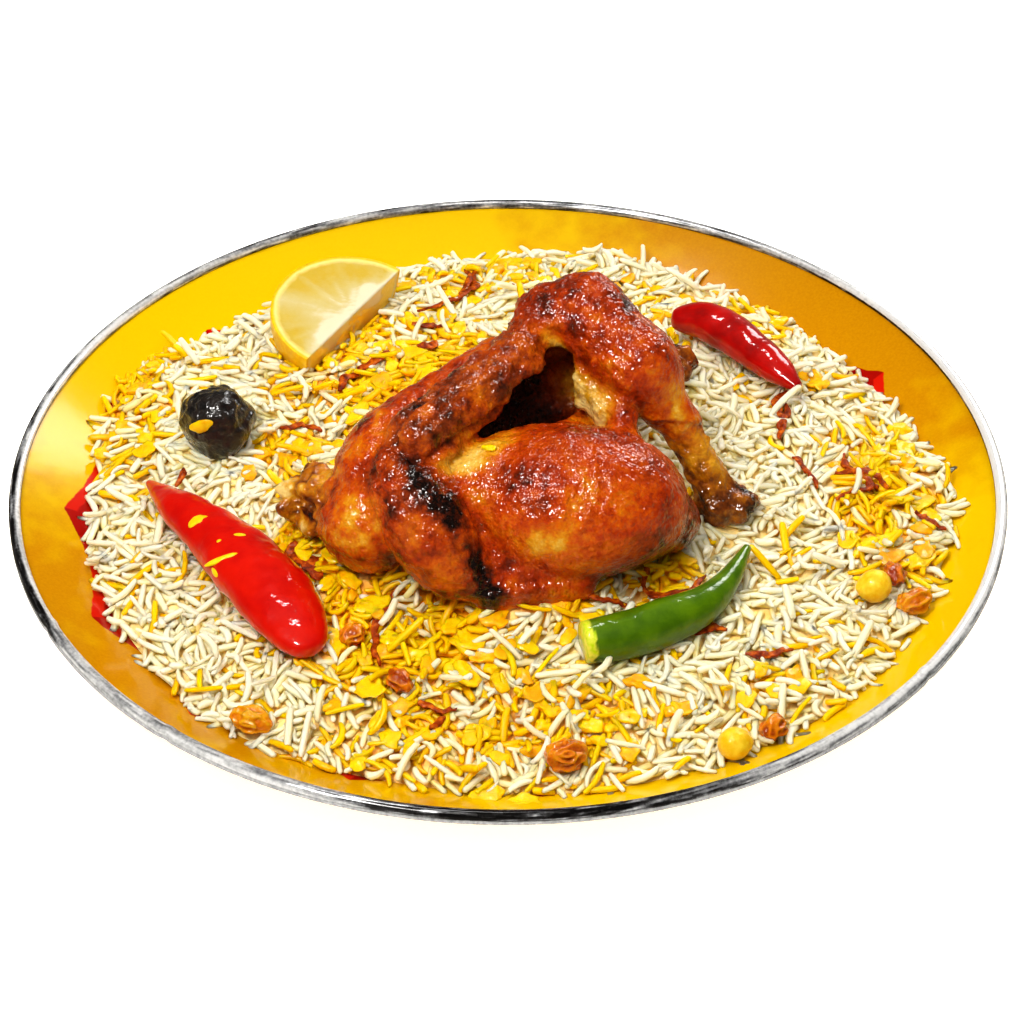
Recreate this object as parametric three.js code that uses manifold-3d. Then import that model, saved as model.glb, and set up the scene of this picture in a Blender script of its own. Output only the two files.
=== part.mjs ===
// A round enamelled steel plate with a steel rim band, heaped with long-grain rice, with a
// roast chicken, chillies, a lemon wedge, a dried lime, chickpeas and raisins on the rice.
// Millimetres, +Z up. The plate stands on z = 0 with its centre on the Z axis. The chicken's
// breast faces -Y, the lemon lies at the back left.
import * as THREE from 'three';
import { mergeVertices } from 'three/addons/utils/BufferGeometryUtils.js';
import Module from 'manifold-3d';

const wasm = await Module();
wasm.setup();

// Driving dimensions
const CLEARANCE = 0.5; // round each piece that lies in the rice
const PLATE = {
  radius: 200, // over the rim band
  edgeRadius: 196, // where the enamelled wall ends
  edgeHeight: 29,
  floorRadius: 125,
  wall: 1.5,
  wallCurve: 1.35, // 1 is a straight cone, more is a rounder bowl
  wallSteps: 5,
  segments: 60,
};
const RIM = { top: 32, skirtBottom: 27.2, band: 1.1, lipRadius: 195.2, lipBottom: 29.2 };
const HEAP = {
  top: 36.5, // crown of the rice over the plate's underside
  meanRadius: 175.5,
  flatness: 2.6, // a high power keeps the middle flat and the edge steep
  edgeThickness: 1.2,
  footInset: 0.5, // the underside ends this far inside the top's edge
  rings: 21,
  underGap: 0.6,
  bump: 1.7, // grains stand this far above and below the mean surface
};
const CHICKEN = { bottom: 34, bottomRound: 2, netStep: 7.2, partedBy: 0.2 };
const STRIP = { width: 2.6, thickness: 2.2, lift: 0.2, steps: 5 };

// Colours, roughness and metalness
const FINISH = {
  enamel: { color: 0xf2b60c, roughness: 0.25, metalness: 0 },
  steel: { color: 0xc9ccd0, roughness: 0.2, metalness: 1 },
  rice: { color: 0xf3e7c2, roughness: 0.6, metalness: 0 },
  chicken: { color: 0xa8430f, roughness: 0.35, metalness: 0 },
  redChilli: { color: 0xd01208, roughness: 0.2, metalness: 0 },
  darkChilli: { color: 0x9c0c08, roughness: 0.2, metalness: 0 },
  greenChilli: { color: 0x3d7a06, roughness: 0.25, metalness: 0 },
  lemon: { color: 0xf0dc7c, roughness: 0.35, metalness: 0 },
  driedLime: { color: 0x16161a, roughness: 0.3, metalness: 0 },
  chickpea: { color: 0xf0b818, roughness: 0.45, metalness: 0 },
  raisin: { color: 0xb0560c, roughness: 0.35, metalness: 0 },
};

const degrees = THREE.MathUtils.degToRad;

// Same row of numbers on every run, evenly spread from 0 to 1
function seededRandom(seed) {
  let state = seed;
  return () => {
    state = (state * 16807) % 2147483647;
    return state / 2147483647;
  };
}

function geometryOf(positions, indices) {
  const geometry = new THREE.BufferGeometry();
  geometry.setAttribute('position', new THREE.Float32BufferAttribute(positions, 3));
  geometry.setIndex(indices);
  return geometry;
}

// Six times the enclosed volume, negative where the faces point inwards
function signedVolume(geometry) {
  const position = geometry.attributes.position;
  const index = geometry.index.array;
  const a = new THREE.Vector3();
  const b = new THREE.Vector3();
  const c = new THREE.Vector3();
  let sum = 0;
  for (let i = 0; i < index.length; i += 3) {
    a.fromBufferAttribute(position, index[i]);
    b.fromBufferAttribute(position, index[i + 1]);
    c.fromBufferAttribute(position, index[i + 2]);
    sum += a.dot(b.cross(c));
  }
  return sum;
}

// One closed body: shared vertices merged, faces without area dropped, faces turned outwards
function closedBody(source) {
  const bare = source.clone();
  for (const name of Object.keys(bare.attributes)) {
    if (name !== 'position') bare.deleteAttribute(name);
  }
  const merged = mergeVertices(bare, 1e-4);
  const index = merged.index.array;
  const kept = [];
  for (let i = 0; i < index.length; i += 3) {
    const [a, b, c] = [index[i], index[i + 1], index[i + 2]];
    if (a !== b && b !== c && c !== a) kept.push(a, b, c);
  }
  merged.setIndex(kept);
  if (signedVolume(merged) < 0) merged.setIndex(kept.reverse());
  return merged;
}

function solidOf(geometry) {
  const body = closedBody(geometry);
  return new wasm.Manifold(new wasm.Mesh({
    numProp: 3,
    vertProperties: new Float32Array(body.attributes.position.array),
    triVerts: new Uint32Array(body.index.array),
  }));
}

function geometryOfSolid(solid) {
  const mesh = solid.getMesh();
  const positions = [];
  for (let i = 0; i < mesh.numVert; i++) {
    const start = i * mesh.numProp;
    positions.push(...mesh.vertProperties.slice(start, start + 3));
  }
  return geometryOf(positions, Array.from(mesh.triVerts));
}

function latheAboutZ(profile) {
  const points = profile.map(([radius, height]) => new THREE.Vector2(radius, height));
  return closedBody(new THREE.LatheGeometry(points, PLATE.segments).rotateX(Math.PI / 2));
}

// Height of the plate's enamelled upper surface at a distance from the centre
function plateHeight(radius) {
  const wallWidth = PLATE.edgeRadius - PLATE.floorRadius;
  const along = Math.max(0, (radius - PLATE.floorRadius) / wallWidth);
  return PLATE.wall + (PLATE.edgeHeight - PLATE.wall) * along ** PLATE.wallCurve;
}

// The plate is one pressed shell of even thickness
function plateGeometry() {
  const upper = [];
  const lower = [];
  const step = (PLATE.edgeRadius - PLATE.floorRadius) / PLATE.wallSteps;
  for (let i = 0; i <= PLATE.wallSteps; i++) {
    const radius = PLATE.floorRadius + step * i;
    const height = plateHeight(radius);
    const rise = i === 0 ? 0 : plateHeight(radius + 0.5) - plateHeight(radius - 0.5);
    const slope = Math.atan(rise);
    upper.push([radius, height]);
    lower.push([radius + PLATE.wall * Math.sin(slope), height - PLATE.wall * Math.cos(slope)]);
  }
  return latheAboutZ([[0, 0], ...lower, ...upper.reverse(), [0, PLATE.wall]]);
}

// The rim band hooks over the plate's edge and hangs outside it as a short skirt
function rimGeometry() {
  const outer = PLATE.radius;
  const inner = outer - RIM.band;
  const skirtEnd = [inner, RIM.skirtBottom];
  return latheAboutZ([
    skirtEnd,
    [outer, RIM.skirtBottom + 0.5],
    [outer, RIM.top - 2.4],
    [outer - 0.8, RIM.top - 0.8],
    [outer - 2.8, RIM.top],
    [RIM.lipRadius + 1, RIM.top - 0.6],
    [RIM.lipRadius, RIM.top - 2],
    [RIM.lipRadius + 0.4, RIM.lipBottom],
    [PLATE.edgeRadius + 0.6, RIM.lipBottom + 0.6],
    [inner - 0.7, RIM.lipBottom - 0.3],
    skirtEnd,
  ]);
}

// Stretches of the heap's edge that lie further out, or in, than the rest: direction and half
// width in degrees
const HEAP_BULGES = [
  { towards: 160, reach: 16, by: 8 },
  { towards: 25, reach: 24, by: -8 },
  { towards: -112, reach: 18, by: 3 },
];

// Outline of the heap: it spreads further to the right and the front, with a ragged edge
function heapRadius(angle) {
  const spread = 5.5 * Math.cos(angle) - 2.5 * Math.sin(angle);
  const ragged = 1.6 * Math.sin(5 * angle + 1) + 1.2 * Math.sin(9 * angle + 2.2);
  let radius = HEAP.meanRadius + spread + ragged;
  for (const { towards, reach, by } of HEAP_BULGES) {
    const turn = angle - degrees(towards);
    const away = Math.atan2(Math.sin(turn), Math.cos(turn)) / degrees(reach);
    radius += by * Math.exp(-(away ** 2));
  }
  return radius;
}

// Mean height of the rice, without its grains
function riceHeight(x, y) {
  const edge = heapRadius(Math.atan2(y, x));
  const edgeHeight = plateHeight(edge) + HEAP.edgeThickness;
  const out = Math.min(1, Math.hypot(x, y) / edge);
  return edgeHeight + (HEAP.top - edgeHeight) * (1 - out ** HEAP.flatness);
}

// The heap as one closed body. Ring k of the top has 6k points, so its triangles are even in
// size; the underside follows the plate on three coarse rings.
function riceHeapGeometry() {
  const random = seededRandom(11);
  const positions = [0, 0, HEAP.top];
  const indices = [];
  const ringStart = [0];
  const addPoint = (x, y, z) => {
    positions.push(x, y, z);
    return positions.length / 3 - 1;
  };
  for (let k = 1; k <= HEAP.rings; k++) {
    ringStart.push(positions.length / 3);
    for (let i = 0; i < 6 * k; i++) {
      const angle = (2 * Math.PI * i) / (6 * k);
      const out = k / HEAP.rings;
      const radius = heapRadius(angle) * out;
      const x = radius * Math.cos(angle);
      const y = radius * Math.sin(angle);
      const bump = k === HEAP.rings ? 0 : HEAP.bump * (2 * random() - 1);
      addPoint(x, y, riceHeight(x, y) + bump);
    }
  }
  for (let k = 1; k <= HEAP.rings; k++) {
    for (let side = 0; side < 6; side++) {
      for (let i = 0; i < k; i++) {
        const outer = (side * k + i) % (6 * k);
        const outerNext = (outer + 1) % (6 * k);
        const innerCount = Math.max(1, 6 * (k - 1));
        const inner = (side * (k - 1) + i) % innerCount;
        indices.push(ringStart[k] + outer, ringStart[k] + outerNext, ringStart[k - 1] + inner);
        if (i === k - 1) continue;
        const innerNext = (inner + 1) % innerCount;
        indices.push(ringStart[k] + outerNext, ringStart[k - 1] + innerNext, ringStart[k - 1] + inner);
      }
    }
  }
  const edgeCount = 6 * HEAP.rings;
  const middleRadius = (PLATE.floorRadius + HEAP.meanRadius) / 2;
  const undersideRing = (count, radiusAt) => {
    const start = positions.length / 3;
    for (let i = 0; i < count; i++) {
      const angle = (2 * Math.PI * i) / count;
      const radius = radiusAt(angle);
      const z = plateHeight(radius) + HEAP.underGap;
      addPoint(radius * Math.cos(angle), radius * Math.sin(angle), z);
    }
    return { start, count };
  };
  // The outer ring has a whole number of points for each point of the inner one
  const joinRings = (outer, inner) => {
    const ratio = outer.count / inner.count;
    for (let i = 0; i < outer.count; i++) {
      const a = outer.start + i;
      const b = outer.start + (i + 1) % outer.count;
      const c = inner.start + Math.floor(i / ratio);
      const d = inner.start + Math.floor((i + 1) / ratio) % inner.count;
      indices.push(a, c, b);
      if (c !== d) indices.push(b, c, d);
    }
  };
  const topEdge = { start: ringStart[HEAP.rings], count: edgeCount };
  const foot = undersideRing(edgeCount, (angle) => heapRadius(angle) - HEAP.footInset);
  const middle = undersideRing(edgeCount / 2, () => middleRadius);
  const floor = undersideRing(edgeCount / 6, () => PLATE.floorRadius);
  joinRings(topEdge, foot);
  joinRings(foot, middle);
  joinRings(middle, floor);
  const centre = addPoint(0, 0, PLATE.wall + HEAP.underGap);
  for (let i = 0; i < floor.count; i++) {
    indices.push(floor.start + i, centre, floor.start + (i + 1) % floor.count);
  }
  return geometryOf(positions, indices);
}

// Fried onion strips on the rice: middle point, length, heading and bend along the length
const ONION_STRIPS = [
  { at: [-49, -102], length: 38, heading: -96, bend: 40 },
  { at: [-26, -139], length: 15, heading: -20, bend: 30 },
  { at: [-17, 132], length: 32, heading: -95, bend: -60 },
  { at: [-34, 96], length: 15, heading: 20, bend: 50 },
  { at: [-66, 56], length: 18, heading: 50, bend: -30 },
  { at: [-84, 24], length: 18, heading: -10, bend: -30 },
  { at: [139, -6], length: 26, heading: -65, bend: 60 },
  { at: [121, -4], length: 20, heading: -68, bend: -40 },
  { at: [113, 28], length: 24, heading: -97, bend: 10 },
  { at: [98, -112], length: 18, heading: 10, bend: 30 },
  { at: [167, -30], length: 14, heading: -30, bend: 40 },
  { at: [8, 128], length: 14, heading: 35, bend: 50 },
];

// A strip is a flat ribbon whose path turns evenly and stays on the rice
function onionStripGeometry({ at, length, heading, bend }) {
  const points = [];
  for (let i = 0; i <= STRIP.steps; i++) {
    const along = i / STRIP.steps - 0.5;
    const turn = degrees(heading + (bend * along) / 2);
    const x = at[0] + length * along * Math.cos(turn);
    const y = at[1] + length * along * Math.sin(turn);
    points.push(new THREE.Vector3(x, y, riceHeight(x, y) + STRIP.lift));
  }
  const section = new THREE.Shape([
    new THREE.Vector2(-STRIP.width / 2, 0),
    new THREE.Vector2(0, -STRIP.thickness / 2),
    new THREE.Vector2(STRIP.width / 2, 0),
    new THREE.Vector2(0, STRIP.thickness / 2),
  ]);
  return new THREE.ExtrudeGeometry(section, {
    steps: STRIP.steps,
    bevelEnabled: false,
    extrudePath: new THREE.CatmullRomCurve3(points),
  });
}

// The chicken is a blend of rounded lobes. A lobe is an ellipsoid (at, semi, turn = yaw and
// pitch in degrees) or a round-ended cone (from, to, radii), and blend is the width in
// millimetres over which it melts into the lobes before it.
const CHICKEN_LOBES = [
  // Trunk: back, both halves of the breast and the shoulder
  { at: [-4, -22, 52], semi: [58, 38, 25], turn: [10, 0], blend: 8 },
  { at: [24, -61, 62.5], semi: [44, 32, 28], turn: [-6, 0], blend: 8 },
  { at: [-8, -55, 62], semi: [30, 23, 22], turn: [15, 0], blend: 6 },
  { from: [46, -60, 58.5], to: [62, -57, 49], radii: [20, 12], blend: 9 },
  { from: [-44, -44, 66], to: [-52, -62, 53], radii: [21, 20], blend: 8 },
  { from: [-42, -38, 78.5], to: [-48, -50, 68], radii: [11, 14], blend: 8 },
  { from: [-36, -31, 82.5], to: [-5, -9, 91], radii: [9, 9], blend: 6 },
  { from: [-58, -54, 51], to: [-77, -42, 48.5], radii: [17, 12.5], blend: 5 },
  // Wing: the fat upper joint in front, the skin fold under it, the narrow joint and its tip
  { at: [-30, -76, 65], semi: [33, 18, 17], turn: [-47, -44], blend: 3 },
  { from: [-6, -90, 42], to: [28, -85, 41], radii: [8, 6], blend: 6 },
  { from: [-12, -82, 48], to: [8, -80, 46], radii: [9, 8], blend: 6 },
  { from: [-33, -55, 86], to: [3, -19, 98], radii: [13.5, 11], blend: 1.5 },
  { from: [-29, -61, 84], to: [-26, -66, 79], radii: [7, 3.5], blend: 2 },
  // Leg arched over the top: knee, thigh, shank and knuckle
  { from: [3, -16, 98.5], to: [13, 4, 99], radii: [9, 10], blend: 4 },
  { from: [16, 5, 102], to: [30, 6, 103], radii: [13.5, 15.5], blend: 5 },
  { from: [30, 4, 102], to: [50, -14, 91], radii: [16.5, 16], blend: 6 },
  { from: [50, -14, 91], to: [66, -22, 71], radii: [14.5, 8.5], blend: 6 },
  { from: [67, -22, 69], to: [81, -34, 47], radii: [7, 8], blend: 3 },
  { at: [85, -37, 42], semi: [13, 10, 8.5], turn: [10, 0], blend: 3 },
  // Back wall of the cavity, the meat inside the thigh and the sinew down to the breast
  { from: [-34, -14, 60], to: [14, 8, 74], radii: [13, 15], blend: 10 },
  { from: [14, 8, 78], to: [40, 0, 72], radii: [14, 14], blend: 10 },
  { from: [22, -6, 88], to: [41, -26, 78], radii: [7, 8], blend: 4 },
  { from: [43, -25, 84], to: [45, -42, 77], radii: [3.5, 5], blend: 5 },
  // Second leg, behind
  { from: [8, 4, 54], to: [40, 22, 54], radii: [22, 15], blend: 8 },
  { from: [40, 22, 54], to: [64, 44, 45], radii: [9, 6.5], blend: 5 },
  { at: [70, 52, 43], semi: [10, 8, 9], turn: [40, 0], blend: 3 },
];
const CHICKEN_CAVITY = { at: [6, -21, 79], semi: [34, 12, 20], turn: [40, 0], blend: 4 };
const CHICKEN_REACH = { low: [-110, -120, 24], high: [115, 80, 132] };

// Smooth minimum of two distances
function melt(a, b, width) {
  const share = THREE.MathUtils.clamp(0.5 + (0.5 * (b - a)) / width, 0, 1);
  return b + (a - b) * share - width * share * (1 - share);
}

function coneDistance(point, { from, to, radii }) {
  const axis = to.map((value, i) => value - from[i]);
  const offset = point.map((value, i) => value - from[i]);
  const dot = axis[0] * offset[0] + axis[1] * offset[1] + axis[2] * offset[2];
  const squared = axis[0] ** 2 + axis[1] ** 2 + axis[2] ** 2;
  const along = THREE.MathUtils.clamp(dot / squared, 0, 1);
  const away = Math.hypot(...offset.map((value, i) => value - along * axis[i]));
  return away - THREE.MathUtils.lerp(radii[0], radii[1], along);
}

function ellipsoidDistance(point, { at, semi, turn }) {
  const [yaw, pitch] = turn.map(degrees);
  const [dx, dy, dz] = point.map((value, i) => value - at[i]);
  const level = dx * Math.cos(yaw) + dy * Math.sin(yaw);
  const y = -dx * Math.sin(yaw) + dy * Math.cos(yaw);
  const x = level * Math.cos(pitch) + dz * Math.sin(pitch);
  const z = -level * Math.sin(pitch) + dz * Math.cos(pitch);
  const scaled = Math.hypot(x / semi[0], y / semi[1], z / semi[2]);
  const steepness = Math.hypot(x / semi[0] ** 2, y / semi[1] ** 2, z / semi[2] ** 2);
  return (scaled * (scaled - 1)) / (steepness + 1e-9);
}

// Distance to the chicken's skin, negative inside
function chickenDistance(point) {
  let distance = Infinity;
  for (const lobe of CHICKEN_LOBES) {
    const away = lobe.from ? coneDistance(point, lobe) : ellipsoidDistance(point, lobe);
    distance = distance === Infinity ? away : melt(distance, away, lobe.blend);
  }
  const cavity = ellipsoidDistance(point, CHICKEN_CAVITY);
  distance = -melt(-distance, cavity, CHICKEN_CAVITY.blend);
  const underside = CHICKEN.bottom - point[2];
  return -melt(-distance, -underside, CHICKEN.bottomRound);
}

// Closed surface where distance(point) equals level, on a grid of cubes: one vertex in each
// cube that the surface crosses, one pair of triangles for each grid edge that it crosses
function surfaceNet(distance, { low, high }, step, level) {
  const count = low.map((value, axis) => Math.ceil((high[axis] - value) / step) + 1);
  const at = (i, j, k) => (i * count[1] + j) * count[2] + k;
  const values = new Float64Array(count[0] * count[1] * count[2]);
  for (let i = 0; i < count[0]; i++) {
    for (let j = 0; j < count[1]; j++) {
      for (let k = 0; k < count[2]; k++) {
        const point = [low[0] + i * step, low[1] + j * step, low[2] + k * step];
        values[at(i, j, k)] = distance(point) - level;
      }
    }
  }
  const corners = [];
  for (let c = 0; c < 8; c++) corners.push([c & 1, (c >> 1) & 1, (c >> 2) & 1]);
  const positions = [];
  const vertexOf = new Int32Array(values.length).fill(-1);
  for (let i = 0; i < count[0] - 1; i++) {
    for (let j = 0; j < count[1] - 1; j++) {
      for (let k = 0; k < count[2] - 1; k++) {
        const sum = [0, 0, 0];
        let crossings = 0;
        for (const corner of corners) {
          for (let axis = 0; axis < 3; axis++) {
            if (corner[axis] === 1) continue;
            const end = [...corner];
            end[axis] = 1;
            const a = values[at(i + corner[0], j + corner[1], k + corner[2])];
            const b = values[at(i + end[0], j + end[1], k + end[2])];
            if (a < 0 === b < 0) continue;
            corner.forEach((value, n) => {
              sum[n] += value + (n === axis ? a / (a - b) : 0);
            });
            crossings++;
          }
        }
        if (crossings === 0) continue;
        vertexOf[at(i, j, k)] = positions.length / 3;
        const cube = [i, j, k];
        cube.forEach((value, n) => positions.push(low[n] + step * (value + sum[n] / crossings)));
      }
    }
  }
  const vertex = (n) => new THREE.Vector3().fromArray(positions, 3 * n);
  const indices = [];
  for (let i = 1; i < count[0] - 1; i++) {
    for (let j = 1; j < count[1] - 1; j++) {
      for (let k = 1; k < count[2] - 1; k++) {
        const inside = values[at(i, j, k)] < 0;
        for (let axis = 0; axis < 3; axis++) {
          const cube = [i, j, k];
          const next = [...cube];
          next[axis] += 1;
          if (values[at(...next)] < 0 === inside) continue;
          const across = (axis + 1) % 3;
          const beyond = (axis + 2) % 3;
          const quad = [[1, 1], [0, 1], [0, 0], [1, 0]].map(([u, v]) => {
            const owner = [...cube];
            owner[across] -= u;
            owner[beyond] -= v;
            return vertexOf[at(...owner)];
          });
          if (!inside) quad.reverse();
          const [a, b, c, d] = quad;
          const shortAC = vertex(a).distanceTo(vertex(c)) < vertex(b).distanceTo(vertex(d));
          if (shortAC) indices.push(a, b, c, a, c, d);
          else indices.push(b, c, d, b, d, a);
        }
      }
    }
  }
  return geometryOf(positions, indices);
}

// Where two stretches of a coarse surface touch along an edge or at a corner, the corners that
// they share are doubled and each is drawn back into the body, so that the stretches stay apart
function partTouchingStretches(geometry) {
  const parted = geometryOfSolid(solidOf(geometry));
  parted.computeVertexNormals();
  const { position, normal } = parted.attributes;
  const place = new THREE.Vector3();
  const inwards = new THREE.Vector3();
  const owners = new Map();
  for (let i = 0; i < position.count; i++) {
    const key = place.fromBufferAttribute(position, i).toArray().join();
    owners.set(key, [...(owners.get(key) ?? []), i]);
  }
  for (const shared of owners.values()) {
    if (shared.length === 1) continue;
    for (const i of shared) {
      place.fromBufferAttribute(position, i);
      place.addScaledVector(inwards.fromBufferAttribute(normal, i), -CHICKEN.partedBy);
      position.setXYZ(i, place.x, place.y, place.z);
    }
  }
  return parted;
}

function chickenGeometry(level) {
  const net = surfaceNet(chickenDistance, CHICKEN_REACH, CHICKEN.netStep, level);
  return partTouchingStretches(net);
}

// A body swept along a curve: width and thickness of its section are functions of the way
// along it, and each end closes on the curve itself
function sweptGeometry({ path, width, thickness, steps, sides }, extra) {
  const curve = new THREE.CatmullRomCurve3(path.map((point) => new THREE.Vector3(...point)));
  const up = new THREE.Vector3(0, 0, 1);
  const positions = [];
  const indices = [];
  for (let i = 0; i <= steps; i++) {
    const along = i / steps;
    const centre = curve.getPoint(along);
    const tangent = curve.getTangent(along);
    const side = new THREE.Vector3().crossVectors(tangent, up).normalize();
    const rise = new THREE.Vector3().crossVectors(side, tangent);
    for (let j = 0; j < sides; j++) {
      const angle = (2 * Math.PI * j) / sides;
      const point = centre.clone();
      point.addScaledVector(side, (width(along) / 2 + extra) * Math.cos(angle));
      point.addScaledVector(rise, (thickness(along) / 2 + extra) * Math.sin(angle));
      positions.push(...point.toArray());
    }
  }
  for (let i = 0; i < steps; i++) {
    for (let j = 0; j < sides; j++) {
      const a = i * sides + j;
      const b = i * sides + ((j + 1) % sides);
      indices.push(a, b, b + sides, a, b + sides, a + sides);
    }
  }
  for (const end of [0, 1]) {
    const centre = curve.getPoint(end);
    const tangent = curve.getTangent(end);
    centre.addScaledVector(tangent, end === 0 ? -extra : extra);
    positions.push(...centre.toArray());
    const tip = positions.length / 3 - 1;
    const start = end * steps * sides;
    for (let j = 0; j < sides; j++) {
      const pair = [start + j, start + ((j + 1) % sides)];
      if (end === 0) pair.reverse();
      indices.push(pair[0], pair[1], tip);
    }
  }
  return geometryOf(positions, indices);
}

// Rounded rise from a thin start, a full middle and a taper, as a share of the full width
function spindle(along, fullAt, startShare, endShare) {
  if (along < fullAt) {
    const rise = Math.sin((Math.PI / 2) * (along / fullAt));
    return startShare + (1 - startShare) * rise;
  }
  const fall = Math.cos((Math.PI / 2) * ((along - fullAt) / (1 - fullAt)));
  return endShare + (1 - endShare) * Math.sqrt(Math.max(0, fall));
}

const CHILLIES = [
  {
    name: 'red_chilli_front',
    finish: 'redChilli',
    path: [[-144, -9, 30], [-129, -32, 35.5], [-107, -59, 37], [-88, -88, 38], [-73, -118, 36]],
    width: (along) => 32 * spindle(along, 0.72, 0.1, 0.2),
    thickness: (along) => 20 * spindle(along, 0.6, 0.16, 0.25),
    steps: 12,
    sides: 10,
  },
  {
    name: 'red_chilli_back',
    finish: 'darkChilli',
    path: [[120, 47, 37], [113, 57, 38], [95, 81, 39], [83, 92, 39], [70, 95, 38]],
    width: (along) => 20 * spindle(along, 0.6, 0.25, 0.3),
    thickness: (along) => 17 * spindle(along, 0.6, 0.25, 0.3),
    steps: 10,
    sides: 10,
  },
  {
    name: 'green_chilli',
    finish: 'greenChilli',
    path: [[92, -63, 41], [83, -83, 40.5], [73, -96, 40], [59, -105, 39.5], [43, -112, 39], [28, -116, 39]],
    width: (along) => 19 * spindle(along, 0.7, 0.18, 0.8),
    thickness: (along) => 19 * spindle(along, 0.7, 0.18, 0.8),
    steps: 12,
    sides: 10,
  },
];

// Lemon wedge: a sector of an ellipsoid. The core edge runs from ridgeStart to ridgeEnd, and
// the sector's angles are measured in its cross-section from the front right side upwards.
const LEMON = {
  ridgeStart: [-84, 58, 43],
  ridgeEnd: [-47, 122, 45],
  radius: 35,
  cutAngles: [168, 262],
  steps: 10,
  arcSteps: 6,
};

function lemonGeometry(extra) {
  const start = new THREE.Vector3(...LEMON.ridgeStart);
  const end = new THREE.Vector3(...LEMON.ridgeEnd);
  const middle = start.clone().lerp(end, 0.5);
  const axis = end.clone().sub(start).normalize();
  const half = start.distanceTo(end) / 2 + extra;
  const side = new THREE.Vector3().crossVectors(axis, new THREE.Vector3(0, 0, 1)).normalize();
  const rise = new THREE.Vector3().crossVectors(side, axis);
  const [first, last] = LEMON.cutAngles.map(degrees);
  const bisector = (first + last) / 2;
  middle.addScaledVector(side, -extra * Math.SQRT2 * Math.cos(bisector));
  middle.addScaledVector(rise, -extra * Math.SQRT2 * Math.sin(bisector));
  const ring = LEMON.arcSteps + 2;
  const positions = [...middle.clone().addScaledVector(axis, -half).toArray()];
  const indices = [];
  for (let i = 1; i < LEMON.steps; i++) {
    const along = -Math.cos((Math.PI * i) / LEMON.steps);
    const centre = middle.clone().addScaledVector(axis, half * along);
    positions.push(...centre.toArray());
    const radius = (LEMON.radius + 2 * extra) * Math.sqrt(1 - along * along);
    for (let j = 0; j <= LEMON.arcSteps; j++) {
      const angle = THREE.MathUtils.lerp(first, last, j / LEMON.arcSteps);
      const point = centre.clone().addScaledVector(side, radius * Math.cos(angle));
      point.addScaledVector(rise, radius * Math.sin(angle));
      positions.push(...point.toArray());
    }
  }
  positions.push(...middle.clone().addScaledVector(axis, half).toArray());
  const tip = positions.length / 3 - 1;
  const lastRing = tip - ring;
  for (let j = 0; j < ring; j++) {
    const next = (j + 1) % ring;
    indices.push(0, 1 + next, 1 + j);
    indices.push(tip, lastRing + j, lastRing + next);
    for (let i = 0; i < LEMON.steps - 2; i++) {
      const a = 1 + i * ring + j;
      const b = 1 + i * ring + next;
      indices.push(a, b, b + ring, a, b + ring, a + ring);
    }
  }
  return geometryOf(positions, indices);
}

// A ball whose radius is changed by a function of its unit direction
function lumpyBall(columns, rows, shape) {
  const geometry = new THREE.SphereGeometry(1, columns, rows);
  const position = geometry.attributes.position;
  const direction = new THREE.Vector3();
  for (let i = 0; i < position.count; i++) {
    direction.fromBufferAttribute(position, i).normalize();
    const point = shape(direction);
    position.setXYZ(i, point.x, point.y, point.z);
  }
  return geometry;
}

// Dried lime: round with shallow dents, sunk a little in the rice
const DRIED_LIME = { at: [-118, 17], radius: 15.5, sunk: 4.5 };

function driedLimeGeometry(extra) {
  return lumpyBall(12, 9, (direction) => {
    const { x, y, z } = direction;
    const dent = 0.05 * Math.sin(3 * x + 4 * y) + 0.04 * Math.sin(5 * z - 3 * x + 1);
    return direction.clone().multiplyScalar(DRIED_LIME.radius * (1 - dent) + extra);
  });
}

// Chickpeas: round, with a small beak
const CHICKPEAS = [
  { name: 'chickpea_1', at: [141, -73], radius: 6.6, turn: 200 },
  { name: 'chickpea_2', at: [82, -158], radius: 6.2, turn: 20 },
];

function chickpeaGeometry({ radius }, extra) {
  return lumpyBall(8, 6, (direction) => {
    const beak = 1 + 0.18 * Math.max(0, direction.x) ** 6;
    return direction.clone().multiplyScalar(radius * beak + extra);
  });
}

// Raisins: flattened, each with its own wrinkles
const RAISINS = [
  { name: 'raisin_1', at: [156, -77], semi: [7.5, 6, 5], turn: 30 },
  { name: 'raisin_2', at: [150, -62], semi: [6, 4.5, 4], turn: 100 },
  { name: 'raisin_3', at: [97, -149], semi: [5.5, 5.5, 5], turn: 60 },
  { name: 'raisin_4', at: [21, -166], semi: [8, 7, 6], turn: 20 },
  { name: 'raisin_5', at: [-94, -144], semi: [8.5, 6, 5], turn: -20 },
  { name: 'raisin_6', at: [-58, -106], semi: [5.5, 5, 4.5], turn: 40 },
  { name: 'raisin_7', at: [-40, -128], semi: [6.5, 5, 4], turn: -60 },
];

function raisinGeometry({ semi, turn }, extra) {
  const phase = degrees(turn * 7);
  return lumpyBall(8, 6, (direction) => {
    const { x, y, z } = direction;
    const wrinkle = 1 - 0.09 * Math.sin(5 * x + phase) * Math.cos(6 * y - 2 * z + phase);
    return new THREE.Vector3(
      x * (semi[0] * wrinkle + extra),
      y * (semi[1] * wrinkle + extra),
      z * (semi[2] * wrinkle + extra),
    );
  });
}

const madghout = new THREE.Group();

function addMesh(name, geometry, finish, position = [0, 0, 0], turn = 0) {
  const body = closedBody(geometry);
  body.computeVertexNormals();
  const mesh = new THREE.Mesh(body, new THREE.MeshStandardMaterial(FINISH[finish]));
  mesh.name = name;
  mesh.position.set(...position);
  mesh.rotation.z = degrees(turn);
  madghout.add(mesh);
}

// The same piece a little larger, moved to its place, to be cut out of the rice
function placedTool(geometry, position = [0, 0, 0], turn = 0) {
  return solidOf(geometry.rotateZ(degrees(turn)).translate(...position));
}

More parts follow.
